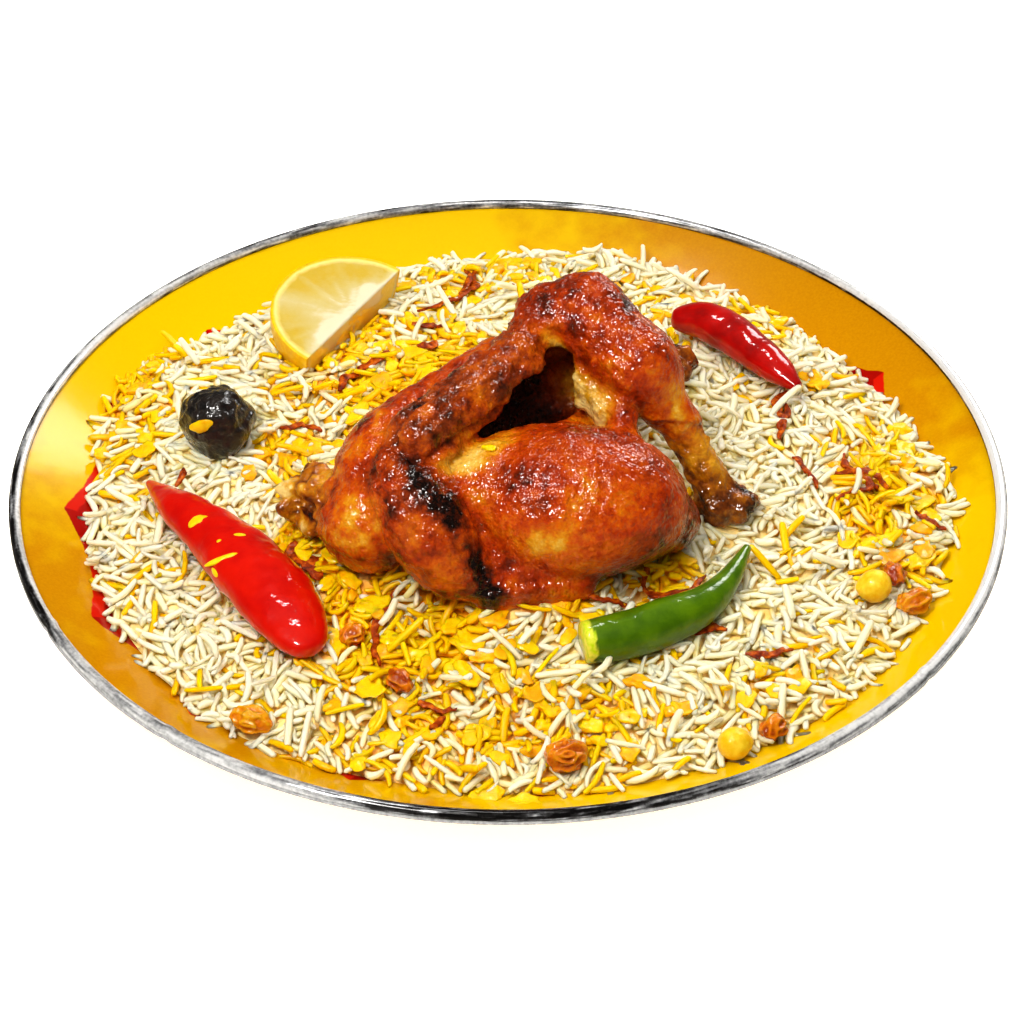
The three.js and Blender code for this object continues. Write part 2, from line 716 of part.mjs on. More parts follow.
// Where a small round piece comes to lie: its centre over the rice, a little sunk
function restingPlace([x, y], height, sunk) {
  return [x, y, riceHeight(x, y) + height - sunk];
}

addMesh('plate', plateGeometry(), 'enamel');
addMesh('rim', rimGeometry(), 'steel');
addMesh('chicken', chickenGeometry(0), 'chicken');
const tools = [solidOf(chickenGeometry(CLEARANCE))];

for (const chilli of CHILLIES) {
  addMesh(chilli.name, sweptGeometry(chilli, 0), chilli.finish);
  tools.push(solidOf(sweptGeometry(chilli, CLEARANCE)));
}

addMesh('lemon_wedge', lemonGeometry(0), 'lemon');
tools.push(solidOf(lemonGeometry(CLEARANCE)));

const limePlace = restingPlace(DRIED_LIME.at, DRIED_LIME.radius, DRIED_LIME.sunk);
addMesh('dried_lime', driedLimeGeometry(0), 'driedLime', limePlace);
tools.push(placedTool(driedLimeGeometry(CLEARANCE), limePlace));

for (const chickpea of CHICKPEAS) {
  const place = restingPlace(chickpea.at, chickpea.radius, 2);
  addMesh(chickpea.name, chickpeaGeometry(chickpea, 0), 'chickpea', place, chickpea.turn);
  tools.push(placedTool(chickpeaGeometry(chickpea, CLEARANCE), place, chickpea.turn));
}

for (const raisin of RAISINS) {
  const place = restingPlace(raisin.at, raisin.semi[2], 1.5);
  addMesh(raisin.name, raisinGeometry(raisin, 0), 'raisin', place, raisin.turn);
  tools.push(placedTool(raisinGeometry(raisin, CLEARANCE), place, raisin.turn));
}

let rice = solidOf(riceHeapGeometry());
for (const strip of ONION_STRIPS) rice = rice.add(solidOf(onionStripGeometry(strip)));
for (const tool of tools) rice = rice.subtract(tool);
addMesh('rice', geometryOfSolid(rice), 'rice');

export default madghout;
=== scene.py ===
import itertools
import math

import bpy
import numpy as np
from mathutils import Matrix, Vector
from mathutils.bvhtree import BVHTree


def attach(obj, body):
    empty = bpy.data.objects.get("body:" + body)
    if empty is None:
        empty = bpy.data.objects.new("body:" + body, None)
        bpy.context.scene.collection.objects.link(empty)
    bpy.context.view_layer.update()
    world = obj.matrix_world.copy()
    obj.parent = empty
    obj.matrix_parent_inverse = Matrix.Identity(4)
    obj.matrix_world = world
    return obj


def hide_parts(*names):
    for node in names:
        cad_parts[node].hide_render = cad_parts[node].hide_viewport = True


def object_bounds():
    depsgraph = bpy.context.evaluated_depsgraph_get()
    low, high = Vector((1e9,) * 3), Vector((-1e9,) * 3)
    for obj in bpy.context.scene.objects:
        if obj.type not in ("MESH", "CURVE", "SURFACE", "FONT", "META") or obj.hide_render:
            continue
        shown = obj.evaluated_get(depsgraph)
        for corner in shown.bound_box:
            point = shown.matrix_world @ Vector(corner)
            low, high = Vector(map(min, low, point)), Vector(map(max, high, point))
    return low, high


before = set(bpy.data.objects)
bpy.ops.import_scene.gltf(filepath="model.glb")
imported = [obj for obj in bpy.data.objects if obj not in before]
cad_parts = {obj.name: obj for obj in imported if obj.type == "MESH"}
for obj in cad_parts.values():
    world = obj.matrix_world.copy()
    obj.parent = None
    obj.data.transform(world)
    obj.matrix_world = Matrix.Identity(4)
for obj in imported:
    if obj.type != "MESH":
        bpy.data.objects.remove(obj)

cad_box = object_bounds()

# Lengths of the food and the plate are millimetres, with the same axes as the frame. Pieces are
# scaled to metres when their meshes are made. The surroundings are given in metres.
METRES = 0.001
random = np.random.default_rng(20)

# Primes that turn a place on a grid and a seed into a number that looks random
PLACE_PRIMES = (73856093, 19349663, 83492791)
SEED_PRIME = 7919
MIX_PRIME = 1274126177


def linear(red, green, blue):
    """Scene colour of an sRGB colour given from 0 to 255"""
    shares = [value / 255 for value in (red, green, blue)]
    return tuple(v / 12.92 if v <= 0.04045 else ((v + 0.055) / 1.055) ** 2.4 for v in shares)


def lumps(points, size, seed):
    """Smooth noise from about -1 to 1, with lumps of that size. A size of three numbers stretches them."""
    grid = points / np.asarray(size, float)
    cell = np.floor(grid).astype(np.int64)
    inside = grid - cell
    fade = inside * inside * (3 - 2 * inside)
    total = np.zeros(len(points))
    for corner in itertools.product((0, 1), repeat=3):
        key = ((cell + corner) * PLACE_PRIMES).sum(axis=1) + seed * SEED_PRIME
        key = ((key ^ (key >> 13)) * MIX_PRIME) & 0xFFFFFFFF
        value = ((key ^ (key >> 16)) & 0xFFFF) / 32767.5 - 1
        total += value * np.where(corner, fade, 1 - fade).prod(axis=1)
    return 1.6 * total


def ridges(points, size, seed):
    """Noise from 0 to 1 with sharp crests"""
    return np.clip(1 - np.abs(lumps(points, size, seed)) * 1.6, 0, 1)


def smoothstep(low, high, value):
    share = np.clip((value - low) / (high - low), 0, 1)
    return share * share * (3 - 2 * share)


def bell(away, reach):
    """1 in the middle, falling off over that reach"""
    return np.exp(-((away / reach) ** 2))


def unit(vectors):
    return vectors / (np.linalg.norm(vectors, axis=-1, keepdims=True) + 1e-12)


def turned_away(angle, towards):
    """How many degrees an angle is away from a direction, from -180 to 180"""
    return (angle - towards + 180) % 360 - 180


def full_turn(count):
    """Evenly spaced angles round a circle"""
    return np.arange(count) * 2 * math.pi / count


# Noise of a texture node hardly leaves this range
NOISE_RANGE = (0.3, 0.7)


class Paint:
    """A node material around one Principled shader. Colours are sRGB, from 0 to 255."""

    def __init__(self, name, **sockets):
        self.material = bpy.data.materials.new(name)
        self.material.use_nodes = True
        self.tree = self.material.node_tree
        self.shader = self.tree.nodes["Principled BSDF"]
        for socket, value in sockets.items():
            self.shader.inputs[socket.replace("_", " ")].default_value = value
        self.place = self.tree.nodes.new("ShaderNodeTexCoord").outputs["Object"]

    def link(self, source, target):
        self.tree.links.new(source, target)

    def socket(self, target, value):
        if isinstance(value, bpy.types.NodeSocket):
            self.link(value, target)
        elif isinstance(value, tuple):
            target.default_value = (*linear(*value), 1)
        else:
            target.default_value = value

    def noise(self, size, detail=3, roughness=0.55, stretch=(1, 1, 1)):
        """Noise with lumps of that size in millimetres"""
        node = self.tree.nodes.new("ShaderNodeTexNoise")
        node.inputs["Scale"].default_value = 1 / (size * METRES)
        node.inputs["Detail"].default_value = detail
        node.inputs["Roughness"].default_value = roughness
        mapping = self.tree.nodes.new("ShaderNodeMapping")
        mapping.inputs["Scale"].default_value = stretch
        self.link(self.place, mapping.inputs["Vector"])
        self.link(mapping.outputs["Vector"], node.inputs["Vector"])
        return node.outputs["Fac"]

    def patches(self, size, detail=4, start=0.0, end=1.0):
        """Noise that runs from start to end"""
        return self.between(self.noise(size, detail=detail), *NOISE_RANGE, start, end)

    def cells(self, size):
        node = self.tree.nodes.new("ShaderNodeTexVoronoi")
        node.inputs["Scale"].default_value = 1 / (size * METRES)
        self.link(self.place, node.inputs["Vector"])
        return node.outputs["Distance"]

    def attribute(self, name, output="Fac"):
        node = self.tree.nodes.new("ShaderNodeAttribute")
        node.attribute_name = name
        return node.outputs[output]

    def ramp(self, factor, *stops):
        """Colour that follows stops of (position, colour)"""
        node = self.tree.nodes.new("ShaderNodeValToRGB")
        elements = node.color_ramp.elements
        while len(elements) < len(stops):
            elements.new(0.5)
        for element, (position, colour) in zip(elements, stops):
            element.position = position
            element.color = (*linear(*colour), 1)
        self.link(factor, node.inputs["Fac"])
        return node.outputs["Color"]

    def mix(self, factor, first, second, blend="MIX"):
        node = self.tree.nodes.new("ShaderNodeMix")
        node.data_type = "RGBA"
        node.blend_type = blend
        for index, value in zip((0, 6, 7), (factor, first, second)):
            self.socket(node.inputs[index], value)
        return node.outputs[2]

    def math(self, operation, first, second=0.0, third=0.0):
        node = self.tree.nodes.new("ShaderNodeMath")
        node.operation = operation
        for index, value in enumerate((first, second, third)):
            self.socket(node.inputs[index], value)
        return node.outputs[0]

    def between(self, value, low, high, start=0.0, end=1.0):
        """Value brought from low..high to start..end, held at the ends"""
        node = self.tree.nodes.new("ShaderNodeMapRange")
        for index, number in enumerate((value, low, high, start, end)):
            self.socket(node.inputs[index], number)
        return node.outputs["Result"]

    def varied(self, value, noise, amount):
        """Value made uneven by noise, by that amount"""
        return self.math("MULTIPLY_ADD", self.math("SUBTRACT", noise, 0.5), amount, value)

    def colour(self, value):
        self.link(value, self.shader.inputs["Base Color"])

    def gloss(self, value):
        self.link(value, self.shader.inputs["Roughness"])

    def bump(self, height, distance):
        """Relief of that many millimetres"""
        node = self.tree.nodes.new("ShaderNodeBump")
        node.inputs["Distance"].default_value = distance * METRES
        self.link(height, node.inputs["Height"])
        normal = self.shader.inputs["Normal"]
        if normal.is_linked:
            self.link(normal.links[0].from_socket, node.inputs["Normal"])
        self.link(node.outputs["Normal"], normal)
        self.link(node.outputs["Normal"], self.shader.inputs["Coat Normal"])


# Surfaces that small pieces may lie on, by the name of what they belong to
SURFACES = {}


def make_piece(name, points, faces, paint, slot, nodes, values=None, colours=None):
    """A smooth mesh that rides on the body, from points in millimetres. Values and colours are per point."""
    mesh = bpy.data.meshes.new(name)
    mesh.from_pydata((points * METRES).tolist(), [], [list(face) for face in faces])
    for key, data in (values or {}).items():
        layer = mesh.attributes.new(key, "FLOAT", "POINT")
        layer.data.foreach_set("value", np.asarray(data, np.float32))
    for key, data in (colours or {}).items():
        layer = mesh.attributes.new(key, "FLOAT_COLOR", "POINT")
        rgba = np.column_stack([data, np.ones(len(data))]).astype(np.float32)
        layer.data.foreach_set("color", rgba.ravel())
    mesh.materials.append(paint.material)
    mesh.shade_smooth()
    mesh.update()
    piece = bpy.data.objects.new(name, mesh)
    bpy.context.collection.objects.link(piece)
    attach(piece, "root")
    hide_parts(*nodes)


def ring_faces(rings, sides, closed=False):
    """Faces between rings of points. Where it is closed, the last ring meets the first."""
    faces = []
    for ring, side in itertools.product(range(rings if closed else rings - 1), range(sides)):
        here, above = ring * sides, (ring + 1) % rings * sides
        after = (side + 1) % sides
        faces.append((here + side, here + after, above + after, above + side))
    return faces


def tube_faces(rings, sides):
    """Faces of a tube of rings of points, with a fan at each end to the two points after the rings"""
    faces = ring_faces(rings, sides)
    first_tip, last = rings * sides, (rings - 1) * sides
    for side in range(sides):
        after = (side + 1) % sides
        faces.append((after, side, first_tip))
        faces.append((last + side, last + after, first_tip + 1))
    return faces


def tube_points(places, side, rise, widths, heights, sides, tips):
    """Rings of an oval tube with those half widths and heights, and its two tips"""
    points = []
    for place, s, r, width, height in zip(places, side, rise, widths, heights):
        for angle in full_turn(sides):
            points.append(place + s * width * math.cos(angle) + r * height * math.sin(angle))
    return np.array([*points, *tips])


def revolve(profile, segments):
    """Rings of points, one for each (radius, height) of a profile"""
    angles = full_turn(segments)
    rings = [(r * np.cos(angles), r * np.sin(angles), np.full(segments, z)) for r, z in profile]
    return np.concatenate([np.column_stack(ring) for ring in rings])


def joined(parts):
    """One mesh of many (points, faces)"""
    points, faces, start = [], [], 0
    for part_points, part_faces in parts:
        points.append(part_points)
        faces += [tuple(corner + start for corner in face) for face in part_faces]
        start += len(part_points)
    return np.concatenate(points), faces


# Plate

PLATE_SEGMENTS = 288
FLOOR_RADIUS = 125
EDGE_RADIUS = 196
EDGE_HEIGHT = 29
WALL = 1.5
WALL_CURVE = 1.35
# Radii of the floor's rings, and how many rings the sloping wall has
FLOOR_RINGS = (60, 100, 118)
WALL_RINGS = 28
# Red leaves: how many double ones, and the direction of one tip in degrees
LEAVES = 8
LEAF_TIP = 176


def plate_height(radius):
    """Height of the enamelled upper surface"""
    along = np.clip((np.asarray(radius, float) - FLOOR_RADIUS) / (EDGE_RADIUS - FLOOR_RADIUS), 0, None)
    return WALL + (EDGE_HEIGHT - WALL) * along**WALL_CURVE


def enamel_paint():
    paint = Paint("enamel", Roughness=0.12, Specular_IOR_Level=0.3)
    separate = paint.tree.nodes.new("ShaderNodeSeparateXYZ")
    paint.link(paint.place, separate.inputs[0])
    x, y = separate.outputs["X"], separate.outputs["Y"]
    squared = paint.math("ADD", paint.math("MULTIPLY", x, x), paint.math("MULTIPLY", y, y))
    radius = paint.math("SQRT", squared)
    angle = paint.math("ARCTAN2", y, x)
    # Sixteen pointed leaves stand out from a red disc, each with a darker half
    turn = paint.math("MULTIPLY_ADD", angle, float(LEAVES), LEAVES * math.radians(LEAF_TIP))
    tooth = paint.math("SUBTRACT", 1.0, paint.math("ABSOLUTE", paint.math("SINE", turn)))
    # On the left the disc is wider and the leaves are shorter
    left = paint.between(x, -0.13, -0.16)
    length = paint.math("MULTIPLY_ADD", left, -0.004, 0.012)
    base = paint.math("MULTIPLY_ADD", left, 0.004, 0.166)
    reach = paint.math("MULTIPLY_ADD", tooth, length, base)
    reach = paint.math("SUBTRACT", reach, paint.between(y, 0.09, 0.13, 0.0, 0.007))
    wobble = paint.math("MULTIPLY_ADD", paint.noise(6), 0.002, reach)
    depth = paint.math("SUBTRACT", wobble, radius)
    half = paint.between(paint.math("SINE", paint.math("MULTIPLY", turn, 2.0)), -0.04, 0.04)
    dark = paint.math("MAXIMUM", paint.between(depth, 0.0045, 0.0052), half)
    red = paint.mix(dark, (200, 30, 10), (158, 14, 4))
    # Painted shade: the glaze is painted a deeper orange towards the left front and the right back
    across = paint.math("SINE", paint.math("MULTIPLY_ADD", angle, 2.0, 0.1))
    across = paint.math("SUBTRACT", across, paint.between(y, -0.05, -0.12, 0.0, 0.35))
    shade = paint.math("MULTIPLY_ADD", paint.noise(18, detail=2), 0.5, paint.math("MULTIPLY", across, -0.4))
    # Painted shade: the glaze is painted darker along its front edge
    shade = paint.math("SUBTRACT", shade, paint.between(y, -0.165, -0.19, 0.0, 0.2))
    yellow = paint.ramp(shade, (0.0, (190, 128, 0)), (0.3, (222, 182, 0)))
    yellow = paint.mix(paint.patches(1.1, 2, 0.0, 0.12), yellow, (255, 206, 20))
    # The ornament is on the upper side alone
    inside = paint.math("MULTIPLY", paint.between(depth, -0.0002, 0.0003), paint.attribute("upper"))
    paint.colour(paint.mix(inside, yellow, red))
    paint.bump(paint.noise(9, detail=1), 0.05)
    return paint


def make_plate():
    upper = [(radius, float(plate_height(radius))) for radius in FLOOR_RINGS]
    lower = [(radius, 0.0) for radius in FLOOR_RINGS]
    wall = np.linspace(FLOOR_RADIUS, EDGE_RADIUS, WALL_RINGS)
    # A narrow ring at the edge keeps the shading of the wall smooth up to it
    for radius in np.append(wall[:-1], (EDGE_RADIUS - 0.3, EDGE_RADIUS)):
        height = float(plate_height(radius))
        rise = float(plate_height(radius + 0.5) - plate_height(radius - 0.5)) if radius > FLOOR_RADIUS else 0
        slope = math.atan(rise)
        upper.append((radius, height))
        lower.append((radius + WALL * math.sin(slope), height - WALL * math.cos(slope)))
    profile = lower + upper[::-1]
    points = np.vstack([revolve(profile, PLATE_SEGMENTS), (0, 0, 0), (0, 0, WALL)])
    faces = tube_faces(len(profile), PLATE_SEGMENTS)
    is_upper = np.repeat([0.0, 1.0], [len(lower) * PLATE_SEGMENTS, len(upper) * PLATE_SEGMENTS])
    is_upper = np.append(is_upper, [0, 1])
    make_piece("enamel_plate", points, faces, enamel_paint(), "enamel", ["plate"], {"upper": is_upper})


RIM_SEGMENTS = 384
RIM_SEAMS = (-128.5, -151, -38.5)
SKIRT_PAINTED_GREY = 0.3
# Painted reflection and shade on the steel: direction, how dark the outer side, the crown, the inner side and
# the line beside the enamel are, from 0 to 1
RIM_PAINTED_REFLECTION = (
    (-180, 0.95, 0.85, 0.1, 0.45), (-158, 0.95, 0.9, 0.2, 0.5), (-145, 0.3, 0.35, 0.3, 0.95),
    (-112, 0.12, 0.3, 0.35, 0.95), (-95, 0.85, 0.9, 0.9, 0.9), (-85, 0.85, 0.9, 0.9, 0.9),
    (-75, 0.7, 0.7, 0.85, 0.9), (-58, 0.45, 0.15, 0.4, 0.95), (-30, 0.4, 0.05, 0.05, 0.95),
    (0, 0.35, 0.0, 0.0, 0.95), (35, 0.35, 0.05, 0.05, 0.9), (60, 0.45, 0.4, 0.4, 0.5),
    (90, 0.48, 0.45, 0.42, 0.5), (120, 0.5, 0.45, 0.42, 0.5), (150, 0.85, 0.3, 0.1, 0.4),
    (180, 0.95, 0.85, 0.1, 0.45),
)


def steel_paint():
    paint = Paint("rim_steel", Metallic=0.35)
    # Painted reflection and shade: the attribute runs the steel's colour from white to near black
    tone = paint.varied(paint.attribute("painted_reflection"), paint.noise(1.6, detail=3), 0.5)
    paint.colour(paint.ramp(
        tone, (0.08, (252, 252, 253)), (0.45, (146, 147, 150)), (0.7, (62, 61, 62)), (0.95, (22, 20, 20))
    ))
    paint.gloss(paint.patches(3, 4, 0.1, 0.24))
    paint.bump(paint.noise(14, detail=3), 0.05)
    return paint


def rim_painted_reflection(angle, turn):
    """Painted reflection and shade: how dark the steel is painted in a direction of the plate and at a turn
    around the bead from its outer side
    """
    directions, *sides = np.array(RIM_PAINTED_REFLECTION).T
    outer, crown, inner, line = [np.interp(angle, directions, side) for side in sides]
    side = outer
    for low, high, following in ((30, 60, crown), (85, 110, inner), (158, 172, line)):
        share = smoothstep(low, high, turn)
        side = side * (1 - share) + following * share
    # Painted reflection streaks along the bead
    spots = np.column_stack([angle * 3.4, turn * 0.04, np.zeros(len(angle))])
    painted_streaks = 0.28 * lumps(spots, (9, 0.9, 1), 5) + 0.2 * lumps(spots, (4, 0.6, 1), 6)
    return np.clip(side + painted_streaks * side * 1.3, 0, 1)


def make_rim():
    """A rolled band: a round bead on top, a groove below it and a plain skirt"""
    skirt = [(198.9, 27.25), (199.6, 27.2), (199.9, 27.5), (199.95, 28.2), (199.95, 28.9), (199.65, 29.1)]
    bead = np.arange(-20, 216, 9)
    profile = skirt + [(197.6 + 2.37 * np.cos(t), 29.9 + 2.05 * np.sin(t)) for t in np.radians(bead)]
    profile += [(195.6, 29.15), (196.6, 29.8), (198.2, 28.9)]
    points = revolve(profile, RIM_SEGMENTS)
    faces = ring_faces(len(profile), RIM_SEGMENTS, closed=True)
    angle = np.degrees(np.arctan2(points[:, 1], points[:, 0]))
    dent = sum(0.5 * bell(turned_away(angle, seam), 0.35) for seam in RIM_SEAMS)
    dent += 0.03 * (1 + lumps(points, 14, 3))
    turn = np.repeat(np.concatenate([np.full(len(skirt), -90), bead, np.full(3, 180)]), RIM_SEGMENTS)
    # The skirt gets a steady painted grey, the bead painted reflection and shade
    painted_reflection = np.where(turn < -45, SKIRT_PAINTED_GREY, rim_painted_reflection(angle, turn))
    points = points - unit(points * (1, 1, 0)) * dent[:, None]
    make_piece("rolled_rim", points, faces, steel_paint(), "rim_steel", ["rim"], {"painted_reflection": painted_reflection})


# Chicken

# Each lobe is a ball (middle, half sizes, yaw, pitch) or a round-ended cone (start, end and
# their radii). The last number is the width over which it melts into the lobes before it.
CHICKEN_LOBES = {
    "back": ("ball", (-4, -22, 52), (58, 38, 25), 10, 0, 8),
    "breast": ("ball", (24, -61, 62.5), (44, 32, 28), -6, 0, 8),
    "breast_left": ("ball", (-8, -55, 62), (30, 23, 22), 15, 0, 6),
    "breast_tip": ("cone", (46, -60, 58.5), (62, -57, 49), 20, 12, 9),
    "shoulder": ("cone", (-44, -44, 66), (-52, -62, 53), 21, 20, 8),
    "hump": ("cone", (-42, -38, 78.5), (-48, -50, 68), 11, 14, 8),
    "web": ("cone", (-36, -31, 82.5), (-5, -9, 91), 9, 9, 6),
    "stub": ("cone", (-58, -54, 51), (-77, -42, 48.5), 17, 12.5, 5),
    "drumette": ("ball", (-30, -76, 65), (33, 18, 17), -47, -44, 3),
    "flap": ("cone", (-6, -90, 42), (28, -85, 41), 8, 6, 6),
    "fold": ("cone", (-12, -82, 48), (8, -80, 46), 9, 8, 6),
    "wing": ("cone", (-33, -55, 86), (3, -19, 98), 13.5, 11, 1.5),
    "wing_tip": ("cone", (-29, -61, 84), (-26, -66, 79), 7, 3.5, 2),
    "elbow": ("cone", (3, -16, 98.5), (13, 4, 99), 9, 10, 4),
    "knee": ("cone", (16, 5, 102), (30, 6, 103), 13.5, 15.5, 5),
    "thigh": ("cone", (30, 4, 102), (50, -14, 91), 16.5, 16, 6),
    "thigh_low": ("cone", (50, -14, 91), (66, -22, 71), 14.5, 8.5, 6),
    "shank": ("cone", (67, -22, 69), (81, -34, 47), 7, 8, 3),
    "knuckle": ("ball", (85, -37, 42), (13, 10, 8.5), 10, 0, 3),
    "back_wall": ("cone", (-34, -14, 60), (14, 8, 74), 13, 15, 10),
    "cavity_wall": ("cone", (14, 8, 78), (40, 0, 72), 14, 14, 10),
    "inner_meat": ("cone", (22, -6, 88), (41, -26, 78), 7, 8, 4),
    "tendon": ("cone", (43, -25, 84), (45, -42, 77), 3.5, 5, 5),
    "second_thigh": ("cone", (8, 4, 54), (40, 22, 54), 22, 15, 8),
    "second_shank": ("cone", (40, 22, 54), (64, 44, 45), 9, 6.5, 5),
    "second_knuckle": ("ball", (70, 52, 43), (10, 8, 9), 40, 0, 3),
}
CAVITY = ("ball", (6, -21, 79), (34, 12, 20), 40, 0, 4)
CHICKEN_BOTTOM = 34
CHICKEN_LOW = (-106, -118, 28)
CHICKEN_HIGH = (104, 76, 128)
# Width over which the looks of one lobe turn into those of the next
LOBE_BLEND = 1.6


def melt(first, second, width):
    """Smooth minimum of two distances"""
    share = np.clip(0.5 + 0.5 * (second - first) / width, 0, 1)
    return second + (first - second) * share - width * share * (1 - share)


def beside_line(points, start, end):
    """Share of the way along a straight stretch, and the distance from it"""
    axis = end - start
    along = np.clip((points - start) @ axis / (axis @ axis), 0, 1)
    return along, np.linalg.norm(points - start - along[:, None] * axis, axis=1)


def lobe_distance(points, lobe):
    if lobe[0] == "cone":
        along, away = beside_line(points, np.array(lobe[1], float), np.array(lobe[2], float))
        return away - (lobe[3] + (lobe[4] - lobe[3]) * along)
    local = turned_into(points - lobe[1], lobe[3], lobe[4])
    semi = np.array(lobe[2], float)
    scaled = np.linalg.norm(local / semi, axis=1)
    steepness = np.linalg.norm(local / semi**2, axis=1)
    return scaled * (scaled - 1) / (steepness + 1e-9)


def turned_into(points, yaw, pitch):
    """Points in the axes of a body that is turned by yaw and pitch in degrees"""
    yaw, pitch = math.radians(yaw), math.radians(pitch)
    level = points[:, 0] * math.cos(yaw) + points[:, 1] * math.sin(yaw)
    across = -points[:, 0] * math.sin(yaw) + points[:, 1] * math.cos(yaw)
    along = level * math.cos(pitch) + points[:, 2] * math.sin(pitch)
    rise = -level * math.sin(pitch) + points[:, 2] * math.cos(pitch)
    return np.column_stack([along, across, rise])


def chicken_distance(points):
    """Distance to the smooth skin, negative inside"""
    distance = None
    for lobe in CHICKEN_LOBES.values():
        away = lobe_distance(points, lobe)
        distance = away if distance is None else melt(distance, away, lobe[-1])
    distance = -melt(-distance, lobe_distance(points, CAVITY), CAVITY[-1])
    return -melt(-distance, points[:, 2] - CHICKEN_BOTTOM, 2)


def distance_grid(distance, low, high, step):
    """Distances on a grid. They are exact near the surface and interpolated away from it."""
    coarse = 4
    counts = [math.ceil((h - l) / (step * coarse)) for l, h in zip(low, high)]
    axes = [l + step * coarse * np.arange(n + 1) for l, n in zip(low, counts)]
    corners = np.stack(np.meshgrid(*axes, indexing="ij"), axis=-1)
    values = distance(corners.reshape(-1, 3)).reshape(corners.shape[:3])
    for axis, count in enumerate(counts):
        fine = np.arange(count * coarse + 1) / coarse
        before = np.minimum(fine.astype(int), count - 1)
        shape = [1, 1, 1]
        shape[axis] = -1
        share = (fine - before).reshape(shape)
        values = np.take(values, before, axis) * (1 - share) + np.take(values, before + 1, axis) * share
    near = np.argwhere(np.abs(values) < 3.2 * step)
    values[tuple(near.T)] = distance(near * step + np.array(low, float))
    return values


def surface_net(values, low, step):
    """One vertex in each cube that the surface crosses, one quad for each grid edge that it crosses"""
    inside = values < 0
    corners = list(itertools.product((0, 1), repeat=3))
    shape = [n - 1 for n in values.shape]
    filled = np.zeros(shape, int)
    for i, j, k in corners:
        filled += inside[i:shape[0] + i, j:shape[1] + j, k:shape[2] + k]
    crossed = (filled > 0) & (filled < 8)
    cubes = np.argwhere(crossed)
    number = np.full(shape, -1)
    number[crossed] = np.arange(len(cubes))
    total = np.zeros((len(cubes), 3))
    hits = np.zeros(len(cubes))
    for corner, axis in itertools.product(corners, range(3)):
        if corner[axis]:
            continue
        end = list(corner)
        end[axis] = 1
        first = values[tuple((cubes + corner).T)]
        second = values[tuple((cubes + end).T)]
        cut = (first < 0) != (second < 0)
        place = np.tile(np.array(corner, float), (len(cubes), 1))
        place[:, axis] += first / (first - second + 1e-30)
        total[cut] += place[cut]
        hits[cut] += 1
    points = (cubes + total / hits[:, None]) * step + np.array(low, float)
    quads = []
    for axis in range(3):
        start = [slice(None)] * 3
        stop = [slice(None)] * 3
        start[axis] = slice(0, -1)
        stop[axis] = slice(1, None)
        edges = np.argwhere(inside[tuple(start)] != inside[tuple(stop)])
        across, beyond = (axis + 1) % 3, (axis + 2) % 3
        quad = []
        for u, v in ((1, 1), (0, 1), (0, 0), (1, 0)):
            owner = edges.copy()
            owner[:, across] -= u
            owner[:, beyond] -= v
            quad.append(number[tuple(owner.T)])
        quad = np.stack(quad, axis=1)
        outwards = inside[tuple(edges.T)]
        quad[~outwards] = quad[~outwards][:, ::-1]
        quads.append(quad)
    return points, np.concatenate(quads)


def settle(points, distance, rounds):
    """Moves points onto the surface. Returns them with its outward direction there."""
    probe = 0.4
    for _ in range(rounds):
        value = distance(points)
        slope = np.empty_like(points)
        for axis in range(3):
            shift = np.zeros(3)
            shift[axis] = probe
            slope[:, axis] = distance(points + shift) - distance(points - shift)
        outward = unit(slope)
        points = points - outward * np.clip(value, -1, 1)[:, None]
    return points, outward


def path_distance(points, path):
    """Distance to a path of straight stretches"""
    nearest = np.full(len(points), 1e9)
    for start, end in itertools.pairwise(np.array(path, float)):
        nearest = np.minimum(nearest, beside_line(points, start, end)[1])
    return nearest


def along_path(points, path, width):
    """1 on a path, falling off over that half width"""
    return bell(path_distance(points, path), width)


# Raised lines in the skin: path, half width and height
SKIN_FOLDS = [
    ([(23, -60, 91), (22, -68, 90), (21, -79, 86), (21, -87, 79), (18, -92, 65)], 1.6, 1.0),
    ([(33, -66, 90), (32, -74, 88), (33, -80, 85), (32, -85, 82), (25, -93, 68)], 1.5, 1.1),
    ([(41, -66, 89), (40, -73, 87), (39, -81, 84), (36, -87, 78)], 1.4, 0.7),
    ([(-49, -80, 61), (-47, -80, 50), (-44, -78, 42), (-32, -95, 48), (-17, -98, 50)], 1.8, 0.9),
    ([(-30, -97, 50), (-8, -97, 45), (20, -93, 46), (36, -90, 44)], 2.0, 1.0),
    ([(20, -54, 90), (30, -56, 91), (40, -53, 88)], 1.6, 0.8),
    ([(47, -46, 84), (58, -50, 78), (66, -55, 68)], 1.8, 0.8),
]
# Creases between parts of the body: path, half width and depth. The depth also sets how much darker the skin
# is painted in them, as painted shade.
SKIN_CREASES = [
    ([(-44, -60, 93), (-41, -66, 91), (-36, -70, 90), (-30, -69, 88), (-25, -65, 89), (-17, -57, 90),
      (-6, -46, 91)], 1.8, 2.0),
    ([(-43, -60, 94), (-40, -57, 97), (-37, -53, 99), (-33, -49, 100), (-28, -45, 101)], 1.5, 1.3),
    ([(-51, -64, 84), (-49, -76, 83), (-50, -80, 76), (-49, -82, 70), (-49, -82, 62), (-48, -82, 54),
      (-46, -83, 46)], 1.7, 1.5),
    ([(-35, -70, 89), (-26, -75, 84), (-20, -76, 79), (-14, -78, 72), (-10, -81, 66), (-9, -87, 62),
      (-9, -93, 54)], 1.6, 1.4),
    ([(-34, -96, 46), (-25, -99, 47), (-16, -99, 48)], 1.6, 1.0),
]
# Where the breast's skin is torn and curled up along its upper edge
TORN_EDGE = [(-2, -42, 88), (12, -44, 90), (26, -46, 91), (38, -48, 89), (46, -46, 85)]
# Middle of the bare meat at the right end of the cavity
BARE_MEAT = (25, -2, 74)
